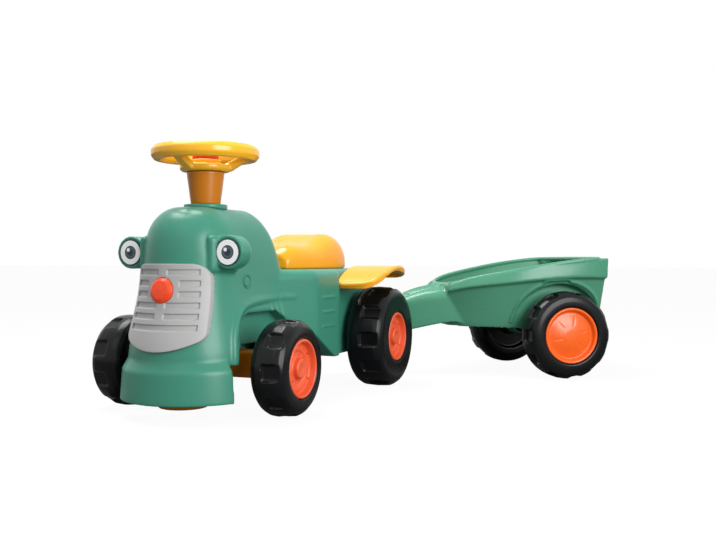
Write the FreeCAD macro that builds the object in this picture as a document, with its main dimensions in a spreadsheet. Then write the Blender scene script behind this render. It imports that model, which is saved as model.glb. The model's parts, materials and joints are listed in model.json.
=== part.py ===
"""Ride-on tractor toy with a towed trailer, standing with the trailer swung to its left.

The tractor's own frame has +X forward, +Y to its left and +Z up, with the floor under the front
axle as its zero. At the end everything is moved so that zero lies under the middle of the whole toy.
"""
import FreeCAD, Part
import math
import os
import re

import Sketcher
from FreeCAD import Placement, Rotation, Vector

SIZES = [
    # Wheels and axles
    ("wheelbase", 306, "front axle to rear axle"),
    ("front_radius", 61, "front tyre radius"),
    ("front_width", 48, "front tyre width"),
    ("front_track", 238, "middle of one front tyre to the other"),
    ("rear_radius", 77, "rear tyre radius"),
    ("rear_width", 59, "rear tyre width"),
    ("rear_track", 242, "middle of one rear tyre to the other"),
    ("trailer_radius", 72, "trailer tyre radius"),
    ("trailer_width", 50, "trailer tyre width"),
    ("trailer_track", 260, "middle of one trailer tyre to the other"),
    ("tractor_cap_radius", 37, "hubcap radius on the tractor"),
    ("trailer_cap_radius", 45.5, "hubcap radius on the trailer"),
    ("axle_radius", 5, "radius of the steel axles"),
    ("running_gap", 0.06, "radial play of a turning fit"),
    ("seat_gap", 0.3, "play between pieces that are only laid together"),
    ("shoulder_round", 13, "rounding of a tyre's shoulders"),
    ("cap_depth", 14, "depth of the well that takes a hubcap"),
    ("cap_sheet", 2.5, "thickness of a hubcap"),
    ("cap_dome_radius", 13, "radius of the dome over an axle end"),
    ("hub_radius", 16, "radius of a wheel's hub"),
    ("web_inset", 9, "depth of the hollow in a wheel's inner side"),
    ("hub_proud", 2, "how far a hub stands out of the tyre's inner side"),
    ("lug_depth", 4.5, "depth of the notches between the lugs"),
    ("lug_length", 13, "length of the notches along the axle"),
    ("lug_gap", 13, "width of the notches round the tyre"),
    ("nut_radius", 9, "radius of a push nut"),
    ("nut_length", 3, "length of a push nut"),
    # Body shell
    ("wall", 3, "wall of the shells"),
    ("hood_half", 76.2, "half width of the hood at its foot"),
    ("hood_draft", 0.105, "how fast the hood's sides lean in"),
    ("hood_front", 105.2, "front of the hood at its foot"),
    ("hood_foot", 50, "height of the hood's lower edge in front"),
    ("hood_top", 262, "height of the hood's top"),
    ("dome_height", 44, "height of the hood's rounded top"),
    ("hood_rear", 120, "rear of the hood at the seat deck, behind the front axle"),
    ("hood_rear_lean", 0.6, "how fast the hood's rear leans forward"),
    ("hood_corner", 0.55, "rounding of the hood's rear corners, as a share of its half width"),
    ("dome_inset", 0.62, "how far the dome draws in at its top, as a share of the half width"),
    ("dome_rear", 0.25, "how much of that its rear draws in"),
    ("deck_height", 182, "height of the seat deck"),
    ("waist_half", 95, "half width of the waist"),
    ("waist_front", 76, "front of the waist, behind the front axle"),
    ("waist_wide", 134, "where the waist reaches its full width"),
    ("waist_rear", 221, "rear of the waist, in front of the rear tyres"),
    ("rear_half", 83, "half width of the rear box"),
    ("rear_end", 352, "rear of the body"),
    ("body_foot", 54, "height of the body's lower edge"),
    ("deck_round", 13, "rounding of the deck's edges"),
    ("corner_round", 16, "rounding of the body's upright corners"),
    ("arch_height", 128, "top of the front wheel arch"),
    ("arch_front", 40, "front of the front wheel arch"),
    ("arch_flat", 66, "rear end of the arch's level top"),
    ("arch_round", 36, "rounding of the arch's front corner"),
    ("arch_rear", 196, "where the arch runs out into the lower edge"),
    ("pocket_back", 52, "back panel of the wheel pockets from the centreline"),
    ("pocket_foot", 86, "lower edge of that panel, over the axle carrier"),
    ("passage_front", 50, "front of the way through for the axle carrier"),
    # Bumper, grille, eyes
    ("bumper_foot", 22, "height of the bumper's lower edge"),
    ("bumper_top", 76, "height of the bumper's upper edge"),
    ("bumper_bevel", 14, "height of the bevel on the bumper"),
    ("bumper_set_in", 9, "how far the bevel runs in towards the hood"),
    ("bumper_front", 119, "front of the bumper"),
    ("bumper_half", 84, "half width of the bumper at its ends"),
    ("bumper_end", 63, "rear end of the bumper, ahead of the front axle"),
    ("bumper_lean", 3, "how far the bumper leans in at its top"),
    ("grille_proud", 5, "how far the grille stands out of the hood"),
    ("grille_low", 86, "lower edge of the grille"),
    ("grille_high", 191, "upper edge of the grille"),
    ("grille_half", 57.5, "half width of the grille at its foot"),
    ("grille_taper", 6, "how much narrower each half of the grille is at its top"),
    ("grille_bow", 16, "how far the grille's lower edge rises at its ends"),
    ("grille_round", 18, "rounding of the grille's upper corners"),
    ("grille_chin", 12, "rounding of the grille's lower corners"),
    ("slot_height", 7, "height of a grille slot"),
    ("slot_pitch", 13.2, "spacing of the grille slots"),
    ("slot_top", 180.5, "height of the uppermost slots"),
    ("slot_depth", 2, "depth of the grille slots"),
    ("grille_bar", 6, "half width of the grille's middle bar"),
    ("badge_margin", 6, "how far the slots keep clear of the badge"),
    ("grille_border", 9, "width of the grille's plain border"),
    ("badge_radius", 15.5, "radius of the badge on the grille"),
    ("badge_proud", 6, "how far the badge stands out"),
    ("badge_height", 159, "height of the badge"),
    ("eye_front", 62, "front of the eyes"),
    ("eye_side", 71.5, "eye middle from the centreline"),
    ("eye_height", 205, "height of the eyes"),
    ("pod_radius", 20.5, "radius of an eye pod"),
    ("pod_length", 28, "length of an eye pod"),
    ("pod_round", 9, "rounding of an eye pod's rear"),
    ("eye_radius", 16.5, "radius of an eye disc"),
    ("eye_sheet", 2, "thickness of an eye disc"),
    ("disc_proud", 0.5, "how far an eye disc stands out of its pod"),
    ("pupil_radius", 8.5, "radius of a pupil"),
    ("pupil_sheet", 0.8, "thickness of a pupil"),
    ("plug_radius", 9, "radius of a screw plug"),
    ("plug_stem", 5, "radius of a screw plug's stem"),
    ("plug_proud", 1.5, "how far a screw plug stands out"),
    ("plug_height", 168, "height of the screw plugs"),
    ("plug_place", 1, "screw plugs ahead of the front axle"),
    # Steering
    ("shaft_radius", 7, "radius of the steering shaft"),
    ("collar_radius", 28, "radius of the collar on the hood"),
    ("collar_height", 5, "height of the collar above the hood"),
    ("column_low", 19, "radius of the column's foot"),
    ("column_high", 24.5, "radius of the column's head"),
    ("column_length", 42, "length of the column"),
    ("wheel_ring", 62, "radius to the middle of the steering wheel's ring"),
    ("ring_width", 15, "width of the ring's section"),
    ("ring_height", 19, "height of the ring's section"),
    ("wheel_height", 333, "height of the ring's middle"),
    ("hub_cup_radius", 33, "radius of the steering wheel's hub"),
    ("hub_cup_height", 9, "height of the steering wheel's hub"),
    ("spoke_width", 13, "width of a spoke"),
    ("spoke_depth", 8, "depth of a spoke"),
    ("spoke_turn", -8, "turn of the first spoke from straight ahead"),
    ("horn_radius", 17, "radius of the horn button"),
    ("horn_height", 12, "height of the horn button over the hub"),
    ("horn_travel", 4, "travel of the horn button"),
    ("horn_guide", 3, "wall of the guide round the horn button"),
    ("plate_height", 136, "height of the lower bearing plate"),
    ("plate_sheet", 6, "thickness of the lower bearing plate"),
    ("washer_sheet", 2, "thickness of the thrust washer"),
    ("carrier_half", 18, "half depth of the axle carrier's beam"),
    ("carrier_under", 13, "beam below the front axle"),
    ("carrier_over", 20, "beam above the front axle"),
    ("turret_radius", 24, "radius of the carrier's turret"),
    ("skid_front", 74, "front of the skid under the bumper"),
    ("skid_half", 27, "half width of the skid"),
    ("skid_low", 14, "height of the skid's underside"),
    # Seat and fenders
    ("seat_front", 152, "front of the seat, behind the front axle"),
    ("seat_rear", 322, "rear of the seat"),
    ("seat_half", 60, "half width of the seat"),
    ("seat_dip", 218, "height of the seat's hollow"),
    ("seat_crest", 235.5, "height of the seat's raised back"),
    ("fender_front", 222, "front edge of a fender, behind the front axle"),
    ("fender_lip", 160, "height of a fender's front edge"),
    ("fender_top", 186, "height of a fender's top"),
    ("fender_rear", 352, "rear edge of a fender"),
    ("fender_tail", 174, "height of a fender's rear edge"),
    ("fender_sheet", 4, "thickness of a fender"),
    ("fender_out", 152, "outer edge of a fender from the centreline"),
    ("fender_skirt", 4, "depth of a fender's turned down edge"),
    ("fender_round", 26, "rounding of a fender's outer corners"),
    # Underside and hitch
    ("tray_sheet", 3, "thickness of the undertray"),
    ("boss_radius", 6, "radius of the screw bosses"),
    ("boss_side", 58, "screw bosses from the centreline"),
    ("boss_front", 240, "front screw bosses, behind the front axle"),
    ("boss_rear", 336, "rear screw bosses"),
    ("screw_radius", 2, "radius of a screw's shank"),
    ("screw_length", 14, "length of a screw's shank"),
    ("screw_head", 4, "radius of a screw's head"),
    ("bush_radius", 9, "radius of an axle bush"),
    ("bush_flange", 12, "radius of a bush's flange"),
    ("axle_boss", 40, "length of the bosses that hold the trailer's bushes"),
    ("hitch_reach", 390, "hitch pin behind the front axle"),
    ("hitch_height", 60, "height of the hitch plate's underside"),
    ("hitch_sheet", 8, "thickness of the hitch plate"),
    ("hitch_half", 22, "half width of the hitch plate"),
    ("pin_radius", 6, "radius of the hitch pin"),
    ("pin_head", 11, "radius of the hitch pin's head"),
    ("pin_head_height", 7, "height of the hitch pin's head"),
    ("eye_bush_radius", 10, "radius of the bush in the drawbar's eye"),
    # Trailer
    ("hitch_yaw", -54, "turn of the trailer on the hitch, from straight behind"),
    ("drawbar", 365, "hitch pin to trailer axle"),
    ("eye_end_radius", 22, "radius of the drawbar's rounded end"),
    ("eye_depth", 22, "height of the drawbar's eye"),
    ("eye_proud", 5, "how far the drawbar's eye stands above the neck"),
    ("neck_half", 19, "half width of the neck near the eye"),
    ("tub_front", 186, "front of the tub, behind the hitch pin"),
    ("tub_rear", 446, "rear of the tub"),
    ("tub_half", 128, "half width of the tub at its rim"),
    ("tub_waist", 95, "half width of the tub between the wheels"),
    ("tub_rim", 199, "height of the rim at the rear"),
    ("tub_nose_rim", 154, "height of the rim at the front"),
    ("tub_floor", 92, "height of the tub's floor"),
    ("tub_foot", 56, "height of the tub's lower edge"),
    ("rim_band", 34, "height of the tub's turned-down rim at the rear"),
    ("rim_nose_band", 12, "height of the tub's turned-down rim at the front"),
    ("rim_lip", 9, "how far the turned-down rim stands out at its hem"),
    ("arch_gap", 11, "space between a trailer tyre and its arch"),
]

doc = FreeCAD.newDocument("RideOnTractor")
sheet = doc.addObject("Spreadsheet::Sheet", "Sizes")
for row, (alias, value, note) in enumerate(SIZES, start=1):
    sheet.set(f"A{row}", note)
    sheet.set(f"B{row}", str(value))
    sheet.setAlias(f"B{row}", alias)
doc.recompute()

ALIASES = {alias for alias, _, _ in SIZES}
nodes = {}
trailer_nodes = set()


def size(alias):
    """A driving dimension as a plain number."""
    return float(sheet.get(alias))


def bound(expression):
    """The expression with the sheet's name in front of each of its words."""
    return re.sub(r"[a-z_]+", lambda m: "Sizes." + m[0] if m[0] in ALIASES else m[0], expression)


def value_of(expression):
    return float(sheet.evalExpression(bound(expression)))


def keep(label, thing, on_trailer=False):
    """Register a finished sub-part under the name of its node."""
    thing.Label = label
    nodes[label] = thing
    if on_trailer:
        trailer_nodes.add(label)
    return thing


# Sketches and features whose sizes are bound to the sheet


def new_body(label, on_trailer=False):
    return keep(label, doc.addObject("PartDesign::Body", label), on_trailer)


def plane_of(body, role):
    return next(feature for feature in body.Origin.OriginFeatures if feature.Role == role)


def new_sketch(body, role, lift="0"):
    sketch = body.newObject("Sketcher::SketchObject", body.Label + "_outline")
    sketch.AttachmentSupport = [(plane_of(body, role), "")]
    sketch.MapMode = "FlatFace"
    if lift != "0":
        sketch.setExpression("AttachmentOffset.Base.z", bound(lift))
    return sketch


def pin_point(sketch, edge, end, across, up):
    """Hold one point of the sketch at a place given by two expressions."""
    for kind, axis, expression in (("DistanceX", -2, across), ("DistanceY", -1, up)):
        if expression == "0":
            sketch.addConstraint(Sketcher.Constraint("PointOnObject", edge, end, axis))
            continue
        number = sketch.addConstraint(Sketcher.Constraint(kind, edge, end, value_of(expression)))
        sketch.setExpression(f"Constraints[{number}]", bound(expression))


def polygon(sketch, corners):
    """Closed straight-sided outline; each corner is a pair of expressions."""
    points = [Vector(value_of(across), value_of(up), 0) for across, up in corners]
    count = len(points)
    first = sketch.GeometryCount
    for i in range(count):
        sketch.addGeometry(Part.LineSegment(points[i], points[(i + 1) % count]), False)
    for i in range(count):
        sketch.addConstraint(
            Sketcher.Constraint("Coincident", first + i, 2, first + (i + 1) % count, 1))
    for i, (across, up) in enumerate(corners):
        pin_point(sketch, first + i, 1, across, up)


def circle(sketch, across, up, radius):
    centre = Vector(value_of(across), value_of(up), 0)
    edge = sketch.addGeometry(Part.Circle(centre, Vector(0, 0, 1), value_of(radius)), False)
    pin_point(sketch, edge, 3, across, up)
    number = sketch.addConstraint(Sketcher.Constraint("Radius", edge, value_of(radius)))
    sketch.setExpression(f"Constraints[{number}]", bound(radius))


def pad(body, sketch, length, both_ways=False, reverse=False):
    feature = body.newObject("PartDesign::Pad", body.Label + "_pad")
    feature.Profile = sketch
    feature.setExpression("Length", bound(length))
    feature.Midplane = both_ways
    feature.Reversed = reverse
    doc.recompute()
    return feature


def pocket(body, sketch, length="0", both_ways=False, reverse=False):
    """Cut the sketch through the body, or to a depth, and make sure that it cut something."""
    before = body.Shape.Volume
    feature = body.newObject("PartDesign::Pocket", body.Label + "_cut")
    feature.Profile = sketch
    feature.Midplane = both_ways
    feature.Reversed = reverse
    if length == "0":
        feature.Type = 1
    else:
        feature.setExpression("Length", bound(length))
    doc.recompute()
    if body.Shape.Volume >= before:
        raise RuntimeError("a cut missed " + body.Label)
    return feature


def turn(body, corners, role="XZ_Plane"):
    """Revolve an outline about the upright axis of its sketch."""
    sketch = new_sketch(body, role)
    polygon(sketch, corners)
    feature = body.newObject("PartDesign::Revolution", body.Label + "_turned")
    feature.Profile = sketch
    feature.ReferenceAxis = (sketch, ["V_Axis"])
    feature.Angle = 360
    doc.recompute()
    return feature


def pattern(body, feature, role, copies):
    repeat = body.newObject("PartDesign::PolarPattern", body.Label + "_round")
    repeat.Originals = [feature]
    repeat.Axis = (plane_of(body, role), [""])
    repeat.Angle = 360
    repeat.Occurrences = copies
    body.Tip = repeat
    doc.recompute()
    return repeat


def round_edges(body, chosen, radius):
    """Round the edges of the body's tip that the chosen test accepts."""
    base = body.Tip
    names = [f"Edge{i}" for i, edge in enumerate(base.Shape.Edges, start=1) if chosen(edge)]
    feature = body.newObject("PartDesign::Fillet", body.Label + "_rounded")
    feature.Base = (base, names)
    feature.setExpression("Radius", bound(radius))
    doc.recompute()
    return feature


def ring_edge(radius, level):
    """Test for a full circle of this radius at this level along the Y axis."""
    def chosen(edge):
        if not isinstance(edge.Curve, Part.Circle):
            return False
        return abs(edge.Curve.Radius - radius) < 0.01 and abs(edge.BoundBox.Center.y - level) < 0.01
    return chosen


# Free forms: plain outlines at several levels, joined by lofts


def closed_wire(edges):
    return Part.Wire([edge.toShape() for edge in edges])


def line(a, b):
    return Part.LineSegment(a, b)


def arc(a, b, c):
    return Part.Arc(a, b, c)


def feature_of(label, shape, on_trailer=False):
    thing = doc.addObject("Part::Feature", label)
    thing.Shape = shape
    return keep(label, thing, on_trailer)


def largest_solid(shape):
    return max(shape.Solids, key=lambda solid: solid.Volume)


def box(x_low, x_high, y_low, y_high, z_low, z_high):
    corner = Vector(x_low, y_low, z_low)
    return Part.makeBox(x_high - x_low, y_high - y_low, z_high - z_low, corner)


def axle_cylinder(radius, x, y_low, y_high, z):
    return Part.makeCylinder(radius, y_high - y_low, Vector(x, y_low, z), Vector(0, 1, 0))


def upright_cylinder(radius, x, y, z_low, z_high):
    return Part.makeCylinder(radius, z_high - z_low, Vector(x, y, z_low))


# Heights that several pieces share

front_axle_height = size("front_radius")
rear_axle_height = size("rear_radius")
column_foot = size("hood_top") + size("collar_height") + size("seat_gap")
column_head = column_foot + size("column_length")


# Body shell: hood, waist and rear box


def hood_half_at(height):
    """Half width of the hood at a height below its dome."""
    return size("hood_half") - size("hood_draft") * (height - size("hood_foot"))


def hood_front_at(height):
    return size("hood_front") - size("hood_draft") * (height - size("hood_foot"))


def hood_section(height, shrink, inset):
    """Plan of the hood: a half round nose, straight sides and a rounded rear."""
    half = hood_half_at(height) - shrink - inset
    nose = hood_front_at(height) - shrink - inset
    climb = max(height - size("deck_height"), 0)
    rear = -size("hood_rear") + size("hood_rear_lean") * climb + size("dome_rear") * shrink + inset
    corner = size("hood_corner") * half
    middle = nose - half
    slant = corner * (1 - math.sqrt(0.5))
    edges = [
        arc(Vector(middle, -half, height), Vector(nose, 0, height), Vector(middle, half, height)),
        line(Vector(middle, half, height), Vector(rear + corner, half, height)),
        arc(Vector(rear + corner, half, height), Vector(rear + slant, half - slant, height),
            Vector(rear, half - corner, height)),
        line(Vector(rear, half - corner, height), Vector(rear, corner - half, height)),
        arc(Vector(rear, corner - half, height), Vector(rear + slant, slant - half, height),
            Vector(rear + corner, -half, height)),
        line(Vector(rear + corner, -half, height), Vector(middle, -half, height)),
    ]
    return closed_wire(edges)


def hood_solid(inset, foot):
    """The hood from its foot to its domed top, shrunk all round by the inset."""
    dome_foot = size("hood_top") - size("dome_height")
    dome_half = size("dome_inset") * hood_half_at(dome_foot)
    levels = [(foot, 0), (0.5 * (foot + dome_foot), 0), (dome_foot, 0)]
    for share in (0.45, 0.75, 0.92, 1.0):
        shrink = dome_half * (1 - math.sqrt(1 - share ** 2))
        levels.append((dome_foot + share * size("dome_height"), shrink))
    sections = [hood_section(height - (inset if shrink else 0), shrink, inset)
                for height, shrink in levels]
    return Part.makeLoft(sections, True, False)


def prism(corners, low, high):
    points = [Vector(x, y, low) for x, y in corners]
    face = Part.Face(Part.makePolygon(points + points[:1]))
    return face.extrude(Vector(0, 0, high - low))


def rounded_prism(corners, low, high, corner_round, top_round):
    """Upright prism with rounded corners and a rounded top edge."""
    block = prism(corners, low, high)
    upright = [edge for edge in block.Edges if edge.BoundBox.ZLength > 0.5 * (high - low)]
    block = block.makeFillet(corner_round, upright)
    rim = [edge for edge in block.Edges if edge.BoundBox.ZMin > high - 0.01]
    return block.makeFillet(top_round, rim)


def waist_solid(inset, foot):
    front = -size("waist_front")
    wide = -size("waist_wide")
    rear = -size("waist_rear") + inset
    half = size("waist_half") - inset
    slim = hood_half_at(size("deck_height")) - size("wall") - inset
    corners = [(front, slim), (wide, half), (rear, half), (rear, -half), (wide, -half), (front, -slim)]
    rounding = min(size("corner_round"), half / 3) - inset
    return rounded_prism(corners, foot, size("deck_height") - inset, rounding,
                         size("deck_round") - inset)


def rear_solid(inset, foot):
    front = -size("waist_rear") + 2 * size("corner_round") + size("deck_round")
    rear = -size("rear_end") + inset
    half = size("rear_half") - inset
    corners = [(front, half), (rear, half), (rear, -half), (front, -half)]
    return rounded_prism(corners, foot, size("deck_height") - inset, size("corner_round") - inset,
                         size("deck_round") - inset)


def arch_view(grow):
    """Side view of the front wheel arch, grown all round."""
    front = size("arch_front")
    top = size("arch_height")
    bend = size("arch_round")
    slant = bend * (1 - math.sqrt(0.5))
    low = -size("body_foot")
    foot = size("body_foot")

    def at(x, z):
        return Vector(x, 0, z)

    edges = [
        line(at(front, low), at(front, top - bend)),
        arc(at(front, top - bend), at(front - slant, top - slant), at(front - bend, top)),
        line(at(front - bend, top), at(-size("arch_flat"), top)),
        line(at(-size("arch_flat"), top), at(-size("arch_rear"), foot)),
        line(at(-size("arch_rear"), foot), at(-size("arch_rear"), low)),
        line(at(-size("arch_rear"), low), at(front, low)),
    ]
    view = Part.Face(closed_wire(edges))
    return view.makeOffset2D(grow) if grow else view


def wheel_pockets(grow):
    """Hollows in both flanks round the front wheels, down to their back panels."""
    start = size("pocket_back") - grow
    depth = 2 * size("waist_half") - start
    view = arch_view(grow)
    left = view.translated(Vector(0, start, 0)).extrude(Vector(0, depth, 0))
    right = view.translated(Vector(0, -start, 0)).extrude(Vector(0, -depth, 0))
    return [left, right]


def carrier_passage():
    """Way through under the pockets' back panels, for the axle carrier."""
    reach = 2 * size("waist_half")
    foot = size("pocket_foot")
    way = arch_view(0).translated(Vector(0, -reach, 0)).extrude(Vector(0, 2 * reach, 0))
    above = box(-size("rear_end"), size("hood_front"), -reach, reach, foot, size("hood_top"))
    ahead = box(0, size("passage_front"), -reach, reach, 0, foot)
    return way.cut(above).fuse(ahead)


def boss_places():
    return [(-size(place), side * size("boss_side"))
            for place in ("boss_front", "boss_rear") for side in (1, -1)]


hood_outer = hood_solid(0, size("hood_foot"))
hood_inner = hood_solid(size("wall"), size("hood_foot") - 20)
waist_inner = waist_solid(size("wall"), size("body_foot") - 10)
rear_inner = rear_solid(size("wall"), size("body_foot") - 10)


def build_body_shell():
    """Hollow shell, open underneath, with posts for the undertray's screws."""
    outer = hood_outer.fuse([waist_solid(0, size("body_foot")), rear_solid(0, size("body_foot"))])
    outer = outer.cut(wheel_pockets(0))
    hollow = hood_inner.fuse([waist_inner, rear_inner]).cut(wheel_pockets(size("wall")))
    shell = outer.cut([hollow, carrier_passage()])
    posts = []
    tray_top = size("body_foot") + size("tray_sheet")
    for x, y in boss_places():
        post = upright_cylinder(size("boss_radius"), x, y, tray_top,
                                size("deck_height") - size("wall") / 2)
        posts.append(post)
    shell = shell.fuse(posts)
    pilots = [upright_cylinder(size("screw_radius") + size("running_gap"), x, y, tray_top - 1,
                               tray_top + size("screw_length") + 2) for x, y in boss_places()]
    collar_hole = upright_cylinder(size("shaft_radius") + 2 * size("wall"), 0, 0,
                                   size("hood_top") - 40, size("hood_top") + 10)
    bush_holes = axle_cylinder(size("bush_radius"), -size("wheelbase"), -2 * size("rear_half"),
                               2 * size("rear_half"), rear_axle_height)
    plug_holes = axle_cylinder(size("plug_stem"), size("plug_place"), -2 * size("hood_half"),
                               2 * size("hood_half"), size("plug_height"))
    shell = shell.cut(pilots + [collar_hole, bush_holes, plug_holes])
    return feature_of("body_shell", largest_solid(shell.removeSplitter()))


build_body_shell()


# Bumper, grille, badge, eyes and plugs on the hood


def bumper_section(height, front, half, end):
    """Plan of the bumper: one bow from end to end, closed behind."""
    edges = [
        arc(Vector(end, -half, height), Vector(front, 0, height), Vector(end, half, height)),
        line(Vector(end, half, height), Vector(end, -half, height)),
    ]
    return closed_wire(edges)


def bumper_solid(inset):
    lean = size("bumper_lean")
    bevel = size("bumper_bevel")
    end = size("bumper_end") + inset
    top = size("bumper_top") - inset
    levels = [
        (size("bumper_foot") - (1 if inset else 0), 0),
        (top - bevel, lean),
        (top, lean + size("bumper_set_in")),
    ]
    sections = [bumper_section(height, size("bumper_front") - shrink - inset,
                               size("bumper_half") - shrink - inset, end)
                for height, shrink in levels]
    return Part.makeLoft(sections, True, True)


def build_front_bumper():
    """Hollow band round the hood's foot; its rear ends are closed only near the wheels."""
    end_wall = 3 * size("wall")
    opening = size("bumper_half") - size("bumper_lean") - size("bumper_set_in") - end_wall
    passage = box(size("bumper_end") - 1, size("bumper_end") + 2 * size("wall"), -opening, opening,
                  size("bumper_foot") - 1, size("bumper_top") + 1)
    band = bumper_solid(0).cut([bumper_solid(size("wall")), passage, hood_outer])
    feature_of("front_bumper", largest_solid(band))


def grille_skin(depth):
    """The hood's form grown out to the grille's face, less a depth."""
    return hood_solid(depth - size("grille_proud"), size("hood_foot"))


def grille_half_at(height):
    share = (height - size("grille_low")) / (size("grille_high") - size("grille_low"))
    return size("grille_half") - size("grille_taper") * share


def grille_front_at(height):
    """How far forward the grille's face lies on the centreline."""
    ray = Part.makeLine(Vector(0, 0, height), Vector(2 * size("hood_front"), 0, height))
    return ray.common(grille_skin(0)).BoundBox.XMax


def slot_cuts():
    """Rows of shallow slots on both sides of the grille's middle bar, the lowest row right across."""
    rows = int((size("slot_top") - size("grille_low")) / size("slot_pitch")) - 1
    bottom = grille_skin(size("slot_depth"))
    cuts = []
    for row in range(rows):
        level = size("slot_top") - row * size("slot_pitch")
        low = level - size("slot_height") / 2
        stop = grille_half_at(level) - size("grille_border")
        near_badge = abs(level - size("badge_height")) < size("badge_radius")
        start = size("badge_radius") + size("badge_margin") if near_badge else size("grille_bar")
        spans = [(start, stop), (-stop, -start)]
        if row == rows - 1:
            spans = [(-stop, stop)]
        for right, left in spans:
            slot = box(0, 2 * size("hood_front"), right, left, low, low + size("slot_height"))
            cuts.append(slot.cut(bottom))
    return cuts


def grille_front_view():
    """Front view of the grille: rounded corners and a lower edge that bows down."""
    low = size("grille_low")
    high = size("grille_high")
    bend = size("grille_round")
    ends = low + size("grille_bow")
    foot = grille_half_at(ends)
    side = grille_half_at(high - bend)
    top = grille_half_at(high)
    slant = bend * (1 - math.sqrt(0.5))
    edges = [
        arc(Vector(0, -foot, ends), Vector(0, 0, low), Vector(0, foot, ends)),
        line(Vector(0, foot, ends), Vector(0, side, high - bend)),
        arc(Vector(0, side, high - bend), Vector(0, top - slant, high - slant),
            Vector(0, top - bend, high)),
        line(Vector(0, top - bend, high), Vector(0, bend - top, high)),
        arc(Vector(0, bend - top, high), Vector(0, slant - top, high - slant),
            Vector(0, -side, high - bend)),
        line(Vector(0, -side, high - bend), Vector(0, -foot, ends)),
    ]
    block = Part.Face(closed_wire(edges)).extrude(Vector(2 * size("hood_front"), 0, 0))
    chins = [edge for edge in block.Edges
             if abs(edge.BoundBox.ZMin - ends) < 0.01 and edge.BoundBox.ZLength < 0.01]
    return block.makeFillet(size("grille_chin"), chins)


def build_grille():
    """Bowed panel that leans with the hood, with a flat seat and a hole for the badge."""
    panel = grille_front_view().common(grille_skin(0))
    seat = Part.makeCylinder(size("badge_radius") + size("seat_gap"), 20, badge_seat, badge_axis)
    hole = Part.makeCylinder(badge_stem_radius + size("running_gap"), 2 * badge_stem,
                             badge_seat - badge_axis * badge_stem, badge_axis)
    panel = panel.cut([hood_outer, seat, hole] + slot_cuts())
    feature_of("grille", largest_solid(panel))


badge_rise = grille_front_at(size("badge_height") - size("badge_radius"))
badge_fall = grille_front_at(size("badge_height") + size("badge_radius"))
badge_lean = math.atan2(badge_rise - badge_fall, 2 * size("badge_radius"))
badge_axis = Vector(math.cos(badge_lean), 0, math.sin(badge_lean))
nose_radius = hood_half_at(size("badge_height")) + size("grille_proud")
badge_sag = size("badge_radius") ** 2 / (2 * nose_radius)
badge_face = Vector(grille_front_at(size("badge_height")), 0, size("badge_height"))
badge_seat = badge_face - badge_axis * (badge_sag + 2 * size("seat_gap"))
badge_stem = 2 * size("wall") / 3
badge_stem_radius = 0.4 * size("badge_radius")


def build_badge():
    badge = new_body("grille_badge")
    stem = "wall * 0.6"
    turn(badge, [("0", f"-{stem}"), ("badge_radius * 0.4", f"-{stem}"), ("badge_radius * 0.4", "0"),
                 ("badge_radius", "0"), ("badge_radius", "badge_proud * 0.5"),
                 ("badge_radius * 0.75", "badge_proud"), ("0", "badge_proud + 1")])
    badge.Placement = Placement(badge_seat, Rotation(Vector(0, 0, 1), badge_axis))


def build_eyes(word, side):
    """One eye: a green pod on the hood's shoulder, a white disc in it and a pupil on the disc."""
    front = size("eye_front")
    rear = front - size("pod_length")
    y = side * size("eye_side")
    height = size("eye_height")
    radius = size("pod_radius")
    disc_back = front - size("eye_sheet") + size("disc_proud")
    along = Vector(1, 0, 0)
    pod = Part.makeCylinder(radius, size("pod_length"), Vector(rear, y, height), along)
    rear_rim = [edge for edge in pod.Edges if edge.BoundBox.XMax < rear + 0.01]
    pod = pod.makeFillet(size("pod_round"), rear_rim)
    root = sorted((0, y))
    bridge = box(rear + size("pod_round") / 2, front - 2 * size("eye_sheet"), root[0], root[1],
                 height - 0.7 * radius, height + 0.93 * radius)
    seat = Part.makeCylinder(size("eye_radius") + size("seat_gap"), 20,
                             Vector(disc_back, y, height), along)
    pod = pod.fuse(bridge).cut([hood_outer, seat])
    outward = [solid for solid in pod.Solids if solid.CenterOfMass.y * side > 0]
    feature_of(f"{word}_eye_pod", max(outward, key=lambda solid: solid.Volume))
    disc = new_body(f"{word}_eye_disc")
    turn(disc, [("0", "0"), ("eye_radius", "0"), ("eye_radius", "eye_sheet"), ("0", "eye_sheet")])
    facing = Rotation(Vector(0, 1, 0), 90)
    disc.Placement = Placement(Vector(disc_back, y, height), facing)
    pupil = new_body(f"{word}_pupil")
    turn(pupil, [("0", "0"), ("pupil_radius", "0"), ("pupil_radius", "pupil_sheet"),
                 ("0", "pupil_sheet")])
    pupil.Placement = Placement(Vector(disc_back + size("eye_sheet"), y, height), facing)


def flank_at(place, height):
    """How far out the hood's flank lies at a place along it."""
    ray = Part.makeLine(Vector(place, 0, height), Vector(place, 2 * size("hood_half"), height))
    return ray.common(hood_outer).BoundBox.YMax


def build_plugs():
    """Round caps over the screws in the hood's sides, one on each side."""
    plugs = []
    proud = size("plug_proud")
    face = flank_at(size("plug_place"), size("plug_height"))
    for side in (1, -1):
        outer = sorted((side * (face - 4), side * (face + proud)))
        inner = sorted((side * (face - size("wall") - 2), side * (face + proud)))
        head = axle_cylinder(size("plug_radius"), size("plug_place"), *outer, size("plug_height"))
        stem = axle_cylinder(size("plug_stem") - size("running_gap"), size("plug_place"), *inner,
                             size("plug_height"))
        plugs.append(head.cut(hood_outer).fuse(stem).removeSplitter())
    feature_of("side_plugs", Part.makeCompound([largest_solid(plug) for plug in plugs]))


build_front_bumper()
build_grille()
build_badge()
for word, side in (("left", 1), ("right", -1)):
    build_eyes(word, side)
build_plugs()


# Seat, fenders and underside


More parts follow.
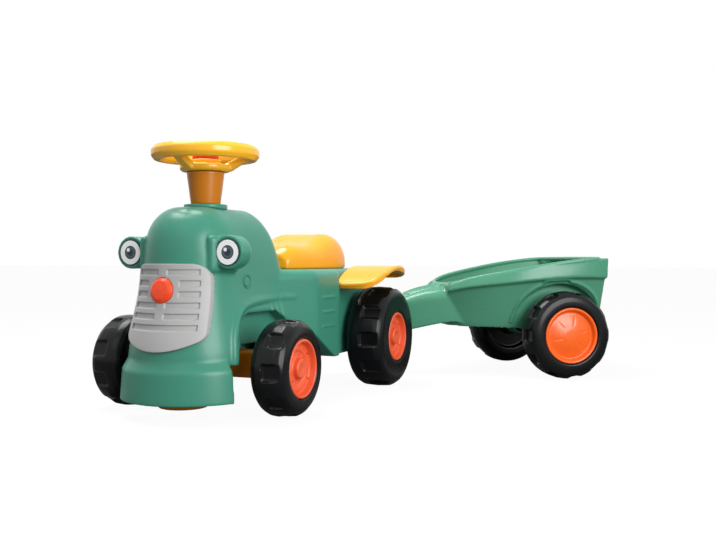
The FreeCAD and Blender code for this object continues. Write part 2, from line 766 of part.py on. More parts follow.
def seat_section(x, half, top):
    """Upright cross section of the saddle: flat foot, straight flanks and a rounded top."""
    foot = size("deck_height")
    flank = foot + 0.45 * (top - foot)
    bend = 0.62 * half
    edges = [
        line(Vector(x, -half, foot), Vector(x, half, foot)),
        line(Vector(x, half, foot), Vector(x, half, flank)),
        arc(Vector(x, half, flank), Vector(x, half - 0.28 * bend, top - 0.25 * (top - flank)),
            Vector(x, half - bend, top)),
        line(Vector(x, half - bend, top), Vector(x, bend - half, top)),
        arc(Vector(x, bend - half, top), Vector(x, 0.28 * bend - half, top - 0.25 * (top - flank)),
            Vector(x, -half, flank)),
        line(Vector(x, -half, flank), Vector(x, -half, foot)),
    ]
    return closed_wire(edges)


def build_seat():
    front = -size("seat_front")
    length = size("seat_rear") - size("seat_front")
    half = size("seat_half")
    foot = size("deck_height")
    dip = size("seat_dip")
    crest = size("seat_crest")
    stations = [
        (0.0, 0.62 * half, foot + 0.55 * (dip - foot)),
        (0.1, 0.76 * half, foot + 0.92 * (dip - foot)),
        (0.35, 0.92 * half, dip),
        (0.62, half, dip + 0.75 * (crest - dip)),
        (0.8, half, crest),
        (0.93, 0.95 * half, crest - 0.2 * (crest - foot)),
        (1.0, 0.86 * half, foot + 0.35 * (crest - foot)),
    ]
    sections = [seat_section(front - share * length, width, top) for share, width, top in stations]
    feature_of("seat", Part.makeLoft(sections, True, False))


def fender_strip(upper, lower):
    """Curved slab between two depths below the fender's top line, across its whole width."""
    inner = size("rear_half")
    middle = -0.5 * (size("fender_front") + size("fender_rear"))

    def side_line(depth):
        return (Vector(-size("fender_front"), inner, size("fender_lip") - depth),
                Vector(middle, inner, size("fender_top") - depth),
                Vector(-size("fender_rear"), inner, size("fender_tail") - depth))

    front, top, tail = side_line(upper)
    low_front, low_top, low_tail = side_line(lower)
    edges = [arc(front, top, tail), line(tail, low_tail), arc(low_tail, low_top, low_front),
             line(low_front, front)]
    return Part.Face(closed_wire(edges)).extrude(Vector(0, size("fender_out") - inner, 0))


def fender_plan(inset):
    """Plan of a fender with rounded outer corners, as a tall prism."""
    inner = size("rear_half")
    outer = size("fender_out") - inset
    front = -size("fender_front") - inset
    rear = -size("fender_rear") + inset
    block = prism([(front, inner), (front, outer), (rear, outer), (rear, inner)], 0, size("hood_top"))
    corners = [edge for edge in block.Edges
               if edge.BoundBox.ZLength > 1 and edge.BoundBox.YMin > outer - 0.01]
    return block.makeFillet(size("fender_round") - inset, corners)


def build_fender(word, side):
    """Curved mudguard with a turned down edge, fixed to the side of the rear box."""
    sheet_depth = size("fender_sheet")
    full_depth = sheet_depth + size("fender_skirt")
    guard = fender_strip(0, full_depth).common(fender_plan(0))
    hollow = fender_strip(sheet_depth, 2 * full_depth).common(fender_plan(sheet_depth))
    waist = waist_solid(0, size("body_foot"))
    fender = largest_solid(guard.cut([hollow, waist]))
    if side < 0:
        fender = fender.mirror(Vector(0, 0, 0), Vector(0, 1, 0))
    feature_of(f"{word}_fender", fender)


def build_undertray():
    """Plate that closes the rear box from below, with holes for its screws."""
    tray = new_body("undertray")
    sketch = new_sketch(tray, "XY_Plane")
    half = "rear_half - wall - seat_gap"
    rear = "-(rear_end - wall - seat_gap)"
    front = "-(waist_rear - corner_round)"
    polygon(sketch, [(front, f"-({half})"), (front, half), (rear, half), (rear, f"-({half})")])
    for place in ("boss_front", "boss_rear"):
        for sign in ("", "-"):
            circle(sketch, f"-{place}", f"{sign}boss_side", "screw_radius + running_gap")
    pad(tray, sketch, "tray_sheet")
    upright = -size("rear_end") + size("corner_round")
    round_edges(tray, lambda edge: edge.BoundBox.ZLength > 1 and edge.BoundBox.XMax < upright
                and not isinstance(edge.Curve, Part.Circle) and edge.Length < 10, "corner_round")
    tray.Placement.Base = Vector(0, 0, size("body_foot"))


def build_tray_screws():
    screws = []
    foot = size("body_foot")
    for x, y in boss_places():
        head = upright_cylinder(size("screw_head"), x, y, foot - size("screw_radius"), foot)
        shank = upright_cylinder(size("screw_radius"), x, y, foot - size("screw_radius"),
                                 foot + size("tray_sheet") + size("screw_length"))
        screws.append(head.fuse(shank).removeSplitter().Solids[0])
    feature_of("tray_screws", Part.makeCompound(screws))


build_seat()
for word, side in (("left", 1), ("right", -1)):
    build_fender(word, side)
build_undertray()
build_tray_screws()


# Wheels, hubcaps, axles, nuts and bushes


def build_wheel(label, radius, width, cap, on_trailer=False):
    """Moulded wheel about the Y axis; its outer side, with the well for the hubcap, is +Y."""
    wheel = new_body(label, on_trailer)
    bore = "axle_radius + running_gap"
    inner = f"-{width} / 2"
    outer = f"{width} / 2"
    well = f"{width} / 2 - cap_depth"
    well_radius = f"{cap} + seat_gap"
    turn(wheel, [
        (bore, f"{inner} - hub_proud"), ("hub_radius", f"{inner} - hub_proud"),
        ("hub_radius", f"{inner} + web_inset"), (f"{cap} - 2", f"{inner} + web_inset"),
        (f"{cap} - 2", inner), (radius, inner), (radius, outer), (well_radius, outer),
        (well_radius, well), (bore, well)], "XY_Plane")
    half = value_of(outer)
    for level in (half, -half):
        round_edges(wheel, ring_edge(value_of(radius), level), "shoulder_round")
    sketch = new_sketch(wheel, "XZ_Plane", f"-({outer})")
    polygon(sketch, [(f"{radius} - lug_depth", "-lug_gap / 2"), (f"{radius} + lug_depth", "-lug_gap / 2"),
                     (f"{radius} + lug_depth", "lug_gap / 2"), (f"{radius} - lug_depth", "lug_gap / 2")])
    notch = pocket(wheel, sketch, "lug_length * 2", both_ways=True)
    pattern(wheel, notch, "Y_Axis", 12)
    return wheel


def build_hubcap(label, width, cap, on_trailer=False):
    """Dished cap with a turned up rim and a dome over the axle's end, seated in the wheel's well."""
    hubcap = new_body(label, on_trailer)
    well = f"{width} / 2 - cap_depth"
    crown = f"{width} / 2 - 2"
    turn(hubcap, [
        ("cap_dome_radius - cap_sheet", well), (cap, well), (cap, f"{width} / 2"),
        (f"{cap} - cap_sheet", f"{width} / 2"), (f"{cap} - 2 * cap_sheet", f"{well} + cap_sheet + 2"),
        ("cap_dome_radius", f"{well} + cap_sheet"), ("cap_dome_radius - 1", crown), ("0", crown),
        ("0", f"{crown} - cap_sheet"), ("cap_dome_radius - cap_sheet", f"{crown} - cap_sheet")],
        "XY_Plane")
    return hubcap


def build_axle(label, track, width, on_trailer=False):
    axle = new_body(label, on_trailer)
    sketch = new_sketch(axle, "XZ_Plane")
    circle(sketch, "0", "0", "axle_radius")
    pad(axle, sketch, f"{track} + {width} - 2 * (cap_depth - nut_length - 3 * seat_gap)", both_ways=True)
    return axle


def build_nuts(label, track, width, x, z, on_trailer=False):
    """Push nuts on both ends of an axle, against the wheels' wells."""
    well = size(track) / 2 + size(width) / 2 - size("cap_depth") + size("seat_gap")
    nuts = []
    for side in (1, -1):
        ends = sorted((side * well, side * (well + size("nut_length"))))
        ring = axle_cylinder(size("nut_radius"), x, *ends, z)
        nuts.append(ring.cut(axle_cylinder(size("axle_radius"), x, *ends, z)).Solids[0])
    feature_of(label, Part.makeCompound(nuts), on_trailer)


def build_bushes(label, wall_face, track, width, x, z, on_trailer=False):
    """Flanged bushes in both side walls; the flange keeps the wheel's hub off the wall."""
    reach = size(track) / 2 - size(width) / 2 - size("hub_proud") - size("seat_gap")
    bushes = []
    for side in (1, -1):
        flange = sorted((side * wall_face, side * reach))
        sleeve = sorted((side * (wall_face - 2 * size("wall")), side * reach))
        body = axle_cylinder(size("bush_flange"), x, *flange, z)
        body = body.fuse(axle_cylinder(size("bush_radius"), x, *sleeve, z))
        bore = axle_cylinder(size("axle_radius") + size("running_gap"), x, *sleeve, z)
        bushes.append(body.cut(bore).removeSplitter().Solids[0])
    feature_of(label, Part.makeCompound(bushes), on_trailer)


AXLES = {
    "front": (0, "front_radius", "front_width", "front_track", "tractor_cap_radius"),
    "rear": (-size("wheelbase"), "rear_radius", "rear_width", "rear_track", "tractor_cap_radius"),
    "trailer": (-size("drawbar"), "trailer_radius", "trailer_width", "trailer_track",
                "trailer_cap_radius"),
}
for end, (x, radius, width, track, cap) in AXLES.items():
    towed = end == "trailer"
    height = size(radius)
    for word, side in (("left", 1), ("right", -1)):
        facing = Rotation(Vector(0, 0, 1), 0 if side > 0 else 180)
        place = Placement(Vector(x, side * size(track) / 2, height), facing)
        build_wheel(f"{end}_{word}_wheel", radius, width, cap, towed).Placement = place
        build_hubcap(f"{end}_{word}_hubcap", width, cap, towed).Placement = place
    build_axle(f"{end}_axle", track, width, towed).Placement.Base = Vector(x, 0, height)
    build_nuts(f"{end}_axle_nuts", track, width, x, height, towed)
build_bushes("rear_axle_bushes", size("rear_half"), "rear_track", "rear_width", -size("wheelbase"),
             rear_axle_height)


# Steering


def build_collar():
    """Green collar on the hood that carries the top of the steering shaft."""
    top = size("hood_top") + size("collar_height")
    disc = upright_cylinder(size("collar_radius"), 0, 0, size("hood_top") - 15, top).cut(hood_outer)
    sleeve = upright_cylinder(size("shaft_radius") + 2 * size("wall"), 0, 0, size("hood_top") - 12, top)
    bore = upright_cylinder(size("shaft_radius") + size("running_gap"), 0, 0, size("hood_top") - 20,
                            top + 1)
    feature_of("steering_collar", largest_solid(disc.fuse(sleeve).removeSplitter().cut(bore)))


def build_bearing_plate():
    """Level plate across the hood that carries the foot of the steering shaft."""
    low = size("plate_height")
    reach = 2 * size("hood_half")
    slab = box(-size("arch_front"), size("bumper_end"), -reach, reach, low, low + size("plate_sheet"))
    bore = upright_cylinder(size("shaft_radius") + size("running_gap"), 0, 0, 0, size("hood_top"))
    feature_of("lower_bearing_plate", largest_solid(slab.common(hood_inner).cut(bore)))


def build_shaft():
    shaft = new_body("steering_shaft")
    sketch = new_sketch(shaft, "XY_Plane")
    circle(sketch, "0", "0", "shaft_radius")
    foot = "front_radius + carrier_over"
    head = "hood_top + collar_height + seat_gap + column_length + hub_cup_height - cap_sheet"
    pad(shaft, sketch, f"{head} - ({foot})")
    shaft.Placement.Base = Vector(0, 0, value_of(foot))


def build_column():
    column = new_body("steering_column")
    inner = "shaft_radius"
    turn(column, [(inner, "0"), ("column_low", "0"), ("column_high", "column_length"),
                  (inner, "column_length")])
    column.Placement.Base = Vector(0, 0, column_foot)


def build_steering_wheel():
    """Oval ring on three spokes that rise from a cupped hub."""
    wheel = new_body("steering_wheel")
    ring_low = f"wheel_height - {column_head} - ring_height / 2"
    ring_high = f"wheel_height - {column_head} + ring_height / 2"
    inner = "wheel_ring - ring_width / 2"
    outer = "wheel_ring + ring_width / 2"
    guide = "horn_radius + running_gap"
    guide_top = "hub_cup_height + horn_travel + horn_guide"
    turn(wheel, [("shaft_radius", "0"), ("hub_cup_radius - 3", "0"), ("hub_cup_radius", "3"),
                 ("hub_cup_radius", "hub_cup_height"), (f"{guide} + horn_guide", "hub_cup_height"),
                 (f"{guide} + horn_guide", guide_top), (guide, guide_top), (guide, "hub_cup_height"),
                 ("shaft_radius", "hub_cup_height")])
    spoke = new_sketch(wheel, "XZ_Plane")
    root = "horn_radius + 2 * horn_guide"
    meet = "wheel_ring"
    polygon(spoke, [(root, "hub_cup_height - spoke_depth"), ("hub_cup_radius", "hub_cup_height - spoke_depth"),
                    (meet, f"{ring_low} + ring_height / 2 - spoke_depth / 2"),
                    (meet, f"{ring_low} + ring_height / 2 + spoke_depth / 2"),
                    (root, "hub_cup_height")])
    arm = pad(wheel, spoke, "spoke_width", both_ways=True)
    pattern(wheel, arm, "Z_Axis", 3)
    ring = new_sketch(wheel, "XZ_Plane")
    cut = "ring_width * 0.3"
    rise = "ring_height * 0.3"
    polygon(ring, [(f"{inner} + {cut}", ring_low), (f"{outer} - {cut}", ring_low),
                   (outer, f"{ring_low} + {rise}"), (outer, f"{ring_high} - {rise}"),
                   (f"{outer} - {cut}", ring_high), (f"{inner} + {cut}", ring_high),
                   (inner, f"{ring_high} - {rise}"), (inner, f"{ring_low} + {rise}")])
    hoop = wheel.newObject("PartDesign::Revolution", "steering_wheel_ring")
    hoop.Profile = ring
    hoop.ReferenceAxis = (ring, ["V_Axis"])
    hoop.Angle = 360
    doc.recompute()
    wheel.Placement = Placement(Vector(0, 0, column_head), Rotation(Vector(0, 0, 1), size("spoke_turn")))


def build_horn_button():
    """Push cap in the wheel's hub, held clear of the hub by its travel."""
    horn = new_body("horn_button")
    turn(horn, [("0", "0"), ("horn_radius", "0"), ("horn_radius", "horn_height * 0.6"),
                ("horn_radius * 0.7", "horn_height"), ("0", "horn_height + 1")])
    lift = column_head + size("hub_cup_height") + size("horn_travel") + size("seat_gap")
    horn.Placement.Base = Vector(0, 0, lift)


def build_carrier():
    """Beam over the front axle, a turret up to the bearing plate and a skid under the bumper."""
    carrier = new_body("front_axle_carrier")
    beam = new_sketch(carrier, "XZ_Plane")
    polygon(beam, [("-carrier_half", "-carrier_under"), ("carrier_half", "-carrier_under"),
                   ("carrier_half", "carrier_over"), ("-carrier_half", "carrier_over")])
    pad(carrier, beam, "front_track - front_width - 2 * hub_proud - 2 * seat_gap", both_ways=True)
    skid = new_sketch(carrier, "XZ_Plane")
    low = "skid_low - front_radius"
    polygon(skid, [("-carrier_half", "-carrier_under"), ("-carrier_half * 0.6", low),
                   ("skid_front - 10", low), ("skid_front", f"{low} + 7"), ("skid_front", f"{low} + 12"),
                   ("carrier_half", "-carrier_under + 10")])
    pad(carrier, skid, "2 * skid_half", both_ways=True)
    turret = new_sketch(carrier, "XY_Plane", "carrier_over - 1")
    circle(turret, "0", "0", "turret_radius")
    pad(carrier, turret, "plate_height - washer_sheet - seat_gap - front_radius - carrier_over + 1")
    shaft_hole = new_sketch(carrier, "XY_Plane", "carrier_over")
    circle(shaft_hole, "0", "0", "shaft_radius")
    pocket(carrier, shaft_hole, "plate_height", reverse=True)
    axle_hole = new_sketch(carrier, "XZ_Plane")
    circle(axle_hole, "0", "0", "axle_radius")
    pocket(carrier, axle_hole, "2 * front_track", both_ways=True)
    carrier.Placement.Base = Vector(0, 0, front_axle_height)


def build_washer():
    washer = new_body("thrust_washer")
    turn(washer, [("shaft_radius", "0"), ("turret_radius - 4", "0"), ("turret_radius - 4", "washer_sheet"),
                  ("shaft_radius", "washer_sheet")])
    washer.Placement.Base = Vector(0, 0, size("plate_height") - size("washer_sheet") - size("seat_gap"))


def build_lock_ring():
    """Ring on the shaft above the bearing plate that keeps the steering from dropping out."""
    ring = new_body("shaft_lock_ring")
    turn(ring, [("shaft_radius", "0"), ("shaft_radius + 6", "0"), ("shaft_radius + 6", "washer_sheet * 2"),
                ("shaft_radius", "washer_sheet * 2")])
    ring.Placement.Base = Vector(0, 0, size("plate_height") + size("plate_sheet") + size("seat_gap"))


build_collar()
build_bearing_plate()
build_shaft()
build_column()
build_steering_wheel()
build_horn_button()
build_carrier()
build_washer()
build_lock_ring()


# Hitch


eye_foot = size("hitch_height") + size("hitch_sheet") + size("seat_gap")
eye_top = eye_foot + size("eye_depth")


def build_hitch_bracket():
    """Tongue on the body's rear wall with a rounded end round the hitch pin."""
    rear = -size("rear_end")
    pin_x = -size("hitch_reach")
    half = size("hitch_half")
    low = size("hitch_height")
    high = low + size("hitch_sheet")
    tongue = box(pin_x, rear, -half, half, low, high)
    nose = upright_cylinder(half, pin_x, 0, low, high)
    flange = box(rear - size("wall"), rear, -1.5 * half, 1.5 * half, size("body_foot"),
                 high + size("hitch_sheet"))
    hole = upright_cylinder(size("pin_radius"), pin_x, 0, low, high)
    bracket = tongue.fuse([nose, flange]).removeSplitter().cut(hole)
    feature_of("hitch_bracket", largest_solid(bracket))


def build_hitch_pin():
    pin = new_body("hitch_pin")
    top = "hitch_sheet + eye_depth + 3 * seat_gap"
    turn(pin, [("0", "0"), ("pin_radius", "0"), ("pin_radius", top), ("pin_head", top),
               ("pin_head", f"{top} + pin_head_height * 0.6"),
               ("pin_head * 0.7", f"{top} + pin_head_height"), ("0", f"{top} + pin_head_height")])
    pin.Placement.Base = Vector(-size("hitch_reach"), 0, size("hitch_height"))


build_hitch_bracket()
build_hitch_pin()


# Trailer, in its own frame: zero on the floor under the hitch pin, -X towards its rear


def tub_section(station, half_top, half_low, top, low, bend, band, lip):
    """Upright cross section of the tub: a turned-down rim, flared sides and a rounded belly."""
    x = -station
    lean = Vector(0, half_top - half_low, top - low - bend)
    side = lean.multiply(1 / lean.Length)
    foot = Vector(x, half_low, low + bend)
    belly = Vector(x, half_low - bend, low)
    knee = foot + (belly - foot) * 0.5 + Vector(0, side.z, -side.y) * (0.2 * bend)
    mirror = Vector(1, -1, 1)

    def flip(point):
        return Vector(point.x * mirror.x, point.y * mirror.y, point.z * mirror.z)

    rim = Vector(x, half_top, top)
    tuck = size("wall")
    hem = rim - Vector(0, lean.y, lean.z) * (band / lean.z) + Vector(0, lip, 0)
    under = rim - Vector(0, lean.y, lean.z) * ((band + tuck) / lean.z)
    edges = [
        line(flip(rim), rim),
        line(rim, hem),
        line(hem, under),
        line(under, foot),
        arc(foot, knee, belly),
        line(belly, flip(belly)),
        arc(flip(belly), flip(knee), flip(foot)),
        line(flip(foot), flip(under)),
        line(flip(under), flip(hem)),
        line(flip(hem), flip(rim)),
    ]
    return closed_wire(edges)


def tub_stations():
    """Along the tub: place, half width of rim and belly, height of rim and belly, rounding."""
    front = size("tub_front")
    length = size("tub_rear") - front
    rim_rise = size("tub_rim") - size("tub_nose_rim")
    half = size("tub_half")
    waist = size("tub_waist")
    foot = size("tub_foot")
    nose = size("tub_nose_rim")
    shape = [
        (0.00, 0.46, 0.45, 0.00, 34, 14),
        (0.14, 0.68, 0.70, 0.26, 12, 24),
        (0.34, 0.87, 0.92, 0.50, 2, 30),
        (0.60, 0.97, 1.00, 0.77, 0, 30),
        (0.85, 1.00, 1.00, 0.95, 2, 28),
        (1.00, 0.97, 0.94, 1.00, 14, 22),
    ]
    return [(front + share * length, rim * half, belly * waist, nose + climb * rim_rise, foot + lift, bend)
            for share, rim, belly, climb, lift, bend in shape]


def tub_solid(inset, floor=None, ceiling=None):
    """The tub's outer form shrunk by the inset, cut off above or below a level."""
    stations = tub_stations()
    first = stations[0][0]
    last = stations[-1][0]
    sections = []
    for station, half_top, half_low, top, low, bend in stations:
        if station == first:
            station += inset
        if station == last:
            station -= inset
        rim = top + (1 if inset and ceiling is None else 0)
        share = (station - first) / (last - first)
        band = size("rim_nose_band") + share * (size("rim_band") - size("rim_nose_band"))
        sections.append(tub_section(station, half_top - inset, half_low - inset, rim, low + inset,
                                    bend - inset / 2, band, 0 if inset else size("rim_lip")))
    form = Part.makeLoft(sections, True, False)
    reach = 2 * size("tub_half")
    if floor is not None:
        form = form.cut(box(-2 * last, 0, -reach, reach, -100, floor))
    if ceiling is not None:
        form = form.cut(box(-2 * last, 0, -reach, reach, ceiling, 1000))
    return form


def arch_drums(margin):
    """Round spaces over the trailer wheels, on both sides of the tub's waist."""
    radius = size("trailer_radius") + size("arch_gap") + margin
    start = size("trailer_track") / 2 - size("trailer_width") / 2 - 3 * size("wall") - margin
    reach = 2 * size("tub_half")
    x = -size("drawbar")
    return [axle_cylinder(radius, x, *sorted((side * start, side * reach)), size("trailer_radius"))
            for side in (1, -1)]


def neck_section(station, half, low, high):
    x = -station
    bend = 0.4 * min(half, high - low)
    slant = bend * (1 - math.sqrt(0.5))
    edges = [
        line(Vector(x, -half, low), Vector(x, half, low)),
        line(Vector(x, half, low), Vector(x, half, high - bend)),
        arc(Vector(x, half, high - bend), Vector(x, half - slant, high - slant),
            Vector(x, half - bend, high)),
        line(Vector(x, half - bend, high), Vector(x, bend - half, high)),
        arc(Vector(x, bend - half, high), Vector(x, slant - half, high - slant),
            Vector(x, -half, high - bend)),
        line(Vector(x, -half, high - bend), Vector(x, -half, low)),
    ]
    return closed_wire(edges)


def neck_solid(inset):
    """Drawbar that widens and climbs from the eye to the tub's nose."""
    half = size("neck_half")
    nose = size("tub_nose_rim")
    end = size("tub_front")
    climb = nose - eye_top
    stations = [
        (0.0, half, eye_foot, eye_top - size("eye_proud")),
        (0.30, half, eye_foot + 2, eye_top + 0.08 * climb),
        (0.62, 1.6 * half, eye_foot + 6, eye_top + 0.62 * climb),
        (1.0, 2.8 * half, eye_foot + 20, nose - 4),
        (1.2, 3.2 * half, eye_foot + 16, nose + 2),
    ]
    start = 1.6 * size("eye_end_radius") if inset else 0
    sections = []
    for share, width, low, high in stations:
        station = start + share * (end - start)
        sections.append(neck_section(station, width - inset, low - (30 if inset else 0), high - inset))
    return Part.makeLoft(sections, True, False)


def build_tub():
    """Open tub over a hollow foot, with wheel arches and a drawbar neck, in one moulding."""
    wall = size("wall")
    floor = size("tub_floor")
    outer = tub_solid(0).cut(arch_drums(0))
    neck = neck_solid(0)
    eye = upright_cylinder(size("eye_end_radius"), 0, 0, eye_foot, eye_top)
    bosses = axle_cylinder(size("bush_flange") + 1, -size("drawbar"), -tub_wall_face, tub_wall_face,
                           size("trailer_radius"))
    boss_gap = axle_cylinder(2 * size("bush_flange"), -size("drawbar"), size("axle_boss") - tub_wall_face,
                             tub_wall_face - size("axle_boss"), size("trailer_radius"))
    hollow = tub_solid(wall, floor=floor).cut(arch_drums(wall))
    under = tub_solid(wall, ceiling=floor - wall).cut(arch_drums(wall))
    under_open = under.fuse(under.translated(Vector(0, 0, -2 * wall)))
    channel = neck_solid(wall).cut(tub_solid(0))
    eye_hole = upright_cylinder(size("eye_bush_radius"), 0, 0, 0, size("hood_top"))
    bush_holes = axle_cylinder(size("bush_radius"), -size("drawbar"), -2 * size("tub_half"),
                               2 * size("tub_half"), size("trailer_radius"))
    body = outer.fuse([neck, eye]).cut([hollow, under_open, channel])
    body = body.fuse(bosses.cut(boss_gap)).cut([eye_hole, bush_holes])
    feature_of("trailer_tub", largest_solid(body), True)


def build_eye_bush():
    bush = new_body("drawbar_bush", True)
    turn(bush, [("pin_radius + running_gap", "0"), ("eye_bush_radius", "0"),
                ("eye_bush_radius", "eye_depth"), ("pin_radius + running_gap", "eye_depth")])
    bush.Placement.Base = Vector(0, 0, eye_foot)


tub_wall_face = size("trailer_track") / 2 - size("trailer_width") / 2 - 3 * size("wall")
build_tub()
build_eye_bush()
build_bushes("trailer_axle_bushes", tub_wall_face, "trailer_track", "trailer_width", -size("drawbar"),
             size("trailer_radius"), True)


# Stand the trailer at the hitch and move the whole toy over its zero

doc.recompute()
hitch = Placement(Vector(-size("hitch_reach"), 0, 0), Rotation(Vector(0, 0, 1), size("hitch_yaw")))
for label in trailer_nodes:
    nodes[label].Placement = hitch.multiply(nodes[label].Placement)
doc.recompute()
whole = FreeCAD.BoundBox()
for thing in nodes.values():
    whole.add(thing.Shape.optimalBoundingBox(False, False))
shift = Placement(Vector(-whole.Center.x, -whole.Center.y, -whole.ZMin), Rotation())
for thing in nodes.values():
    thing.Placement = shift.multiply(thing.Placement)
doc.recompute()
print("front axle stands at", shift.Base, "size", whole.XLength, whole.YLength, whole.ZLength)

for thing in doc.Objects:
    if "Invalid" in thing.State or "Error" in thing.State:
        raise RuntimeError(f"{thing.Label} failed")
for label, thing in nodes.items():
    if thing.Shape.isNull() or not thing.Shape.isValid():
        raise RuntimeError(f"{label} is not a valid solid")
    print(label, len(thing.Shape.Solids), round(thing.Shape.Volume / 1000, 2), "cm3")

os.makedirs("parts", exist_ok=True)
for label, thing in nodes.items():
    thing.Shape.exportStep(f"parts/{label}.step")
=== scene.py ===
"""Looks of a ride-on tractor toy with a towed trailer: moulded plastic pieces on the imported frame."""

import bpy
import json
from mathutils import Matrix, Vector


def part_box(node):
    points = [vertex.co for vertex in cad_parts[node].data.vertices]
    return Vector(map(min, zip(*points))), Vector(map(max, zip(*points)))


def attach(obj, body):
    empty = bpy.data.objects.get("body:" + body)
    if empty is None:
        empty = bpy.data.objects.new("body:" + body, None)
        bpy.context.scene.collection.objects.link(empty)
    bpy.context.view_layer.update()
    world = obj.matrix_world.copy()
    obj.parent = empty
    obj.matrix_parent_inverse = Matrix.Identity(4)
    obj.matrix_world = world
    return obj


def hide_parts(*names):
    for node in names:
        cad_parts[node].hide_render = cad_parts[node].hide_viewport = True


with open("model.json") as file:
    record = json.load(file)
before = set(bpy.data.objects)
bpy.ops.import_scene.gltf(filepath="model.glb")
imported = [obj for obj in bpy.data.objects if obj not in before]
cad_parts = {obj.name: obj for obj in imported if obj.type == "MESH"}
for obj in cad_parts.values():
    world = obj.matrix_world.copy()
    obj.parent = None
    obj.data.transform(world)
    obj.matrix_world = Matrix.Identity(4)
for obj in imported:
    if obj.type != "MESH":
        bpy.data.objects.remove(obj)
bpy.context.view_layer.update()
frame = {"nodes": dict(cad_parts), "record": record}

import json
import math

import bpy
from mathutils import Matrix, Vector

MM = 0.001
SIDES = (("left", 1), ("right", -1))
# Points of a mesh that are closer than this are one
MERGE_GAP = 0.01 * MM
# How deep a hubcap sits in its tyre, and the bore round the axle
CAP_DEPTH = 14
AXLE_BORE = 5.1
# The trailer's axle behind the hitch pin, and its wheels' radius
TRAILER_AXLE = 365
TRAILER_RADIUS = 72
# The photograph's camera: place and lens in millimetres, tilt down and turn in degrees
CAMERA_PLACE = (978.67, 639.61, 196.97)
CAMERA_LENS = 44.63
CAMERA_TILT = 0.72
CAMERA_TURN = 113.44

# The frame's own places: the floor under the front axle, and the hitch pin with the trailer's turn
low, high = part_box("steering_shaft")
FRONT = Vector(((low.x + high.x) / 2, (low.y + high.y) / 2, 0))
low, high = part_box("hitch_pin")
HITCH = Vector(((low.x + high.x) / 2, (low.y + high.y) / 2, 0))
TRAILER_TURN = math.radians(-54)


def at(x, y, z):
    """Millimetres ahead of, left of and above the floor under the front axle."""
    return FRONT + Vector((x, y, z)) * MM


def towed(back, left, z):
    """Millimetres behind the hitch pin, to the trailer's left, and above the floor."""
    return HITCH + Matrix.Rotation(TRAILER_TURN, 3, "Z") @ Vector((-back, left, z)) * MM


# Working with pieces


def clear_selection():
    """Leave edit mode and select nothing."""
    if bpy.context.mode != "OBJECT":
        bpy.ops.object.mode_set(mode="OBJECT")
    bpy.ops.object.select_all(action="DESELECT")


def pick(*pieces):
    """Select these pieces only; the first is the active one."""
    clear_selection()
    for piece in pieces:
        piece.select_set(True)
    bpy.context.view_layer.objects.active = pieces[0]
    return pieces[0]


def modify(piece, kind, **settings):
    """Apply a modifier with these settings to the piece."""
    pick(piece)
    modifier = piece.modifiers.new(kind.title(), kind)
    for key, value in settings.items():
        setattr(modifier, key, value)
    bpy.ops.object.modifier_apply(modifier=modifier.name)
    return piece


def joined(label, pieces):
    """Some pieces as one, which keeps the first one's place."""
    whole = pick(*pieces)
    if len(pieces) > 1:
        bpy.ops.object.join()
    whole.name = label
    return whole


def settled(piece):
    """Put the piece's place, turn and scale into its mesh."""
    pick(piece)
    bpy.ops.object.transform_apply(location=True, rotation=True, scale=True)
    return piece


def duplicate(piece, label, matrix=None):
    """Copy of a piece with a mesh of its own, moved by a matrix."""
    pick(piece)
    bpy.ops.object.duplicate()
    copy = bpy.context.view_layer.objects.active
    copy.name = label
    if matrix is not None:
        copy.data.transform(matrix)
        if matrix.determinant() < 0:
            copy.data.flip_normals()
    return copy


def solid_copy(label, *nodes):
    """Merged copy of some solids of the frame, as one new piece."""
    copies = []
    for name in nodes:
        copy = bpy.data.objects.new(label, frame["nodes"][name].data.copy())
        bpy.context.scene.collection.objects.link(copy)
        copy.data.materials.clear()
        copies.append(copy)
    whole = joined(label, copies)
    bpy.ops.object.mode_set(mode="EDIT")
    bpy.ops.mesh.select_all(action="SELECT")
    bpy.ops.mesh.remove_doubles(threshold=MERGE_GAP)
    bpy.ops.object.mode_set(mode="OBJECT")
    return whole


def soften(piece, grain, passes, budget):
    """Run everything in the piece together like one moulding, with rounded edges and creases.

    grain is the finest detail kept, in millimetres, and budget the most triangles.
    """
    modify(piece, "REMESH", mode="VOXEL", voxel_size=grain * MM, use_smooth_shade=True)
    modify(piece, "SMOOTH", factor=0.5, iterations=passes)
    triangles = 2 * len(piece.data.polygons)
    if triangles > budget:
        modify(piece, "DECIMATE", ratio=budget / triangles)
    pick(piece)
    bpy.ops.object.shade_smooth()
    return piece


def cut(piece, cutter):
    """Take the cutter's shape out of the piece."""
    modify(piece, "BOOLEAN", operation="DIFFERENCE", object=cutter, solver="EXACT")
    bpy.data.objects.remove(cutter)
    return piece


def rounded_block(label, length, width, height, rounding, place, turn=None):
    """Bevelled block, its lengths along X, Y and Z, turned and then put at a place in metres."""
    clear_selection()
    bpy.ops.mesh.primitive_cube_add(size=1)
    block = bpy.context.active_object
    block.name = label
    block.scale = (length * MM, width * MM, height * MM)
    settled(block)
    bpy.ops.object.mode_set(mode="EDIT")
    bpy.ops.mesh.select_all(action="SELECT")
    bpy.ops.mesh.bevel(offset=rounding * MM, segments=4, affect="EDGES")
    bpy.ops.object.mode_set(mode="OBJECT")
    if turn is not None:
        block.data.transform(turn.to_4x4())
    block.data.transform(Matrix.Translation(place))
    return block


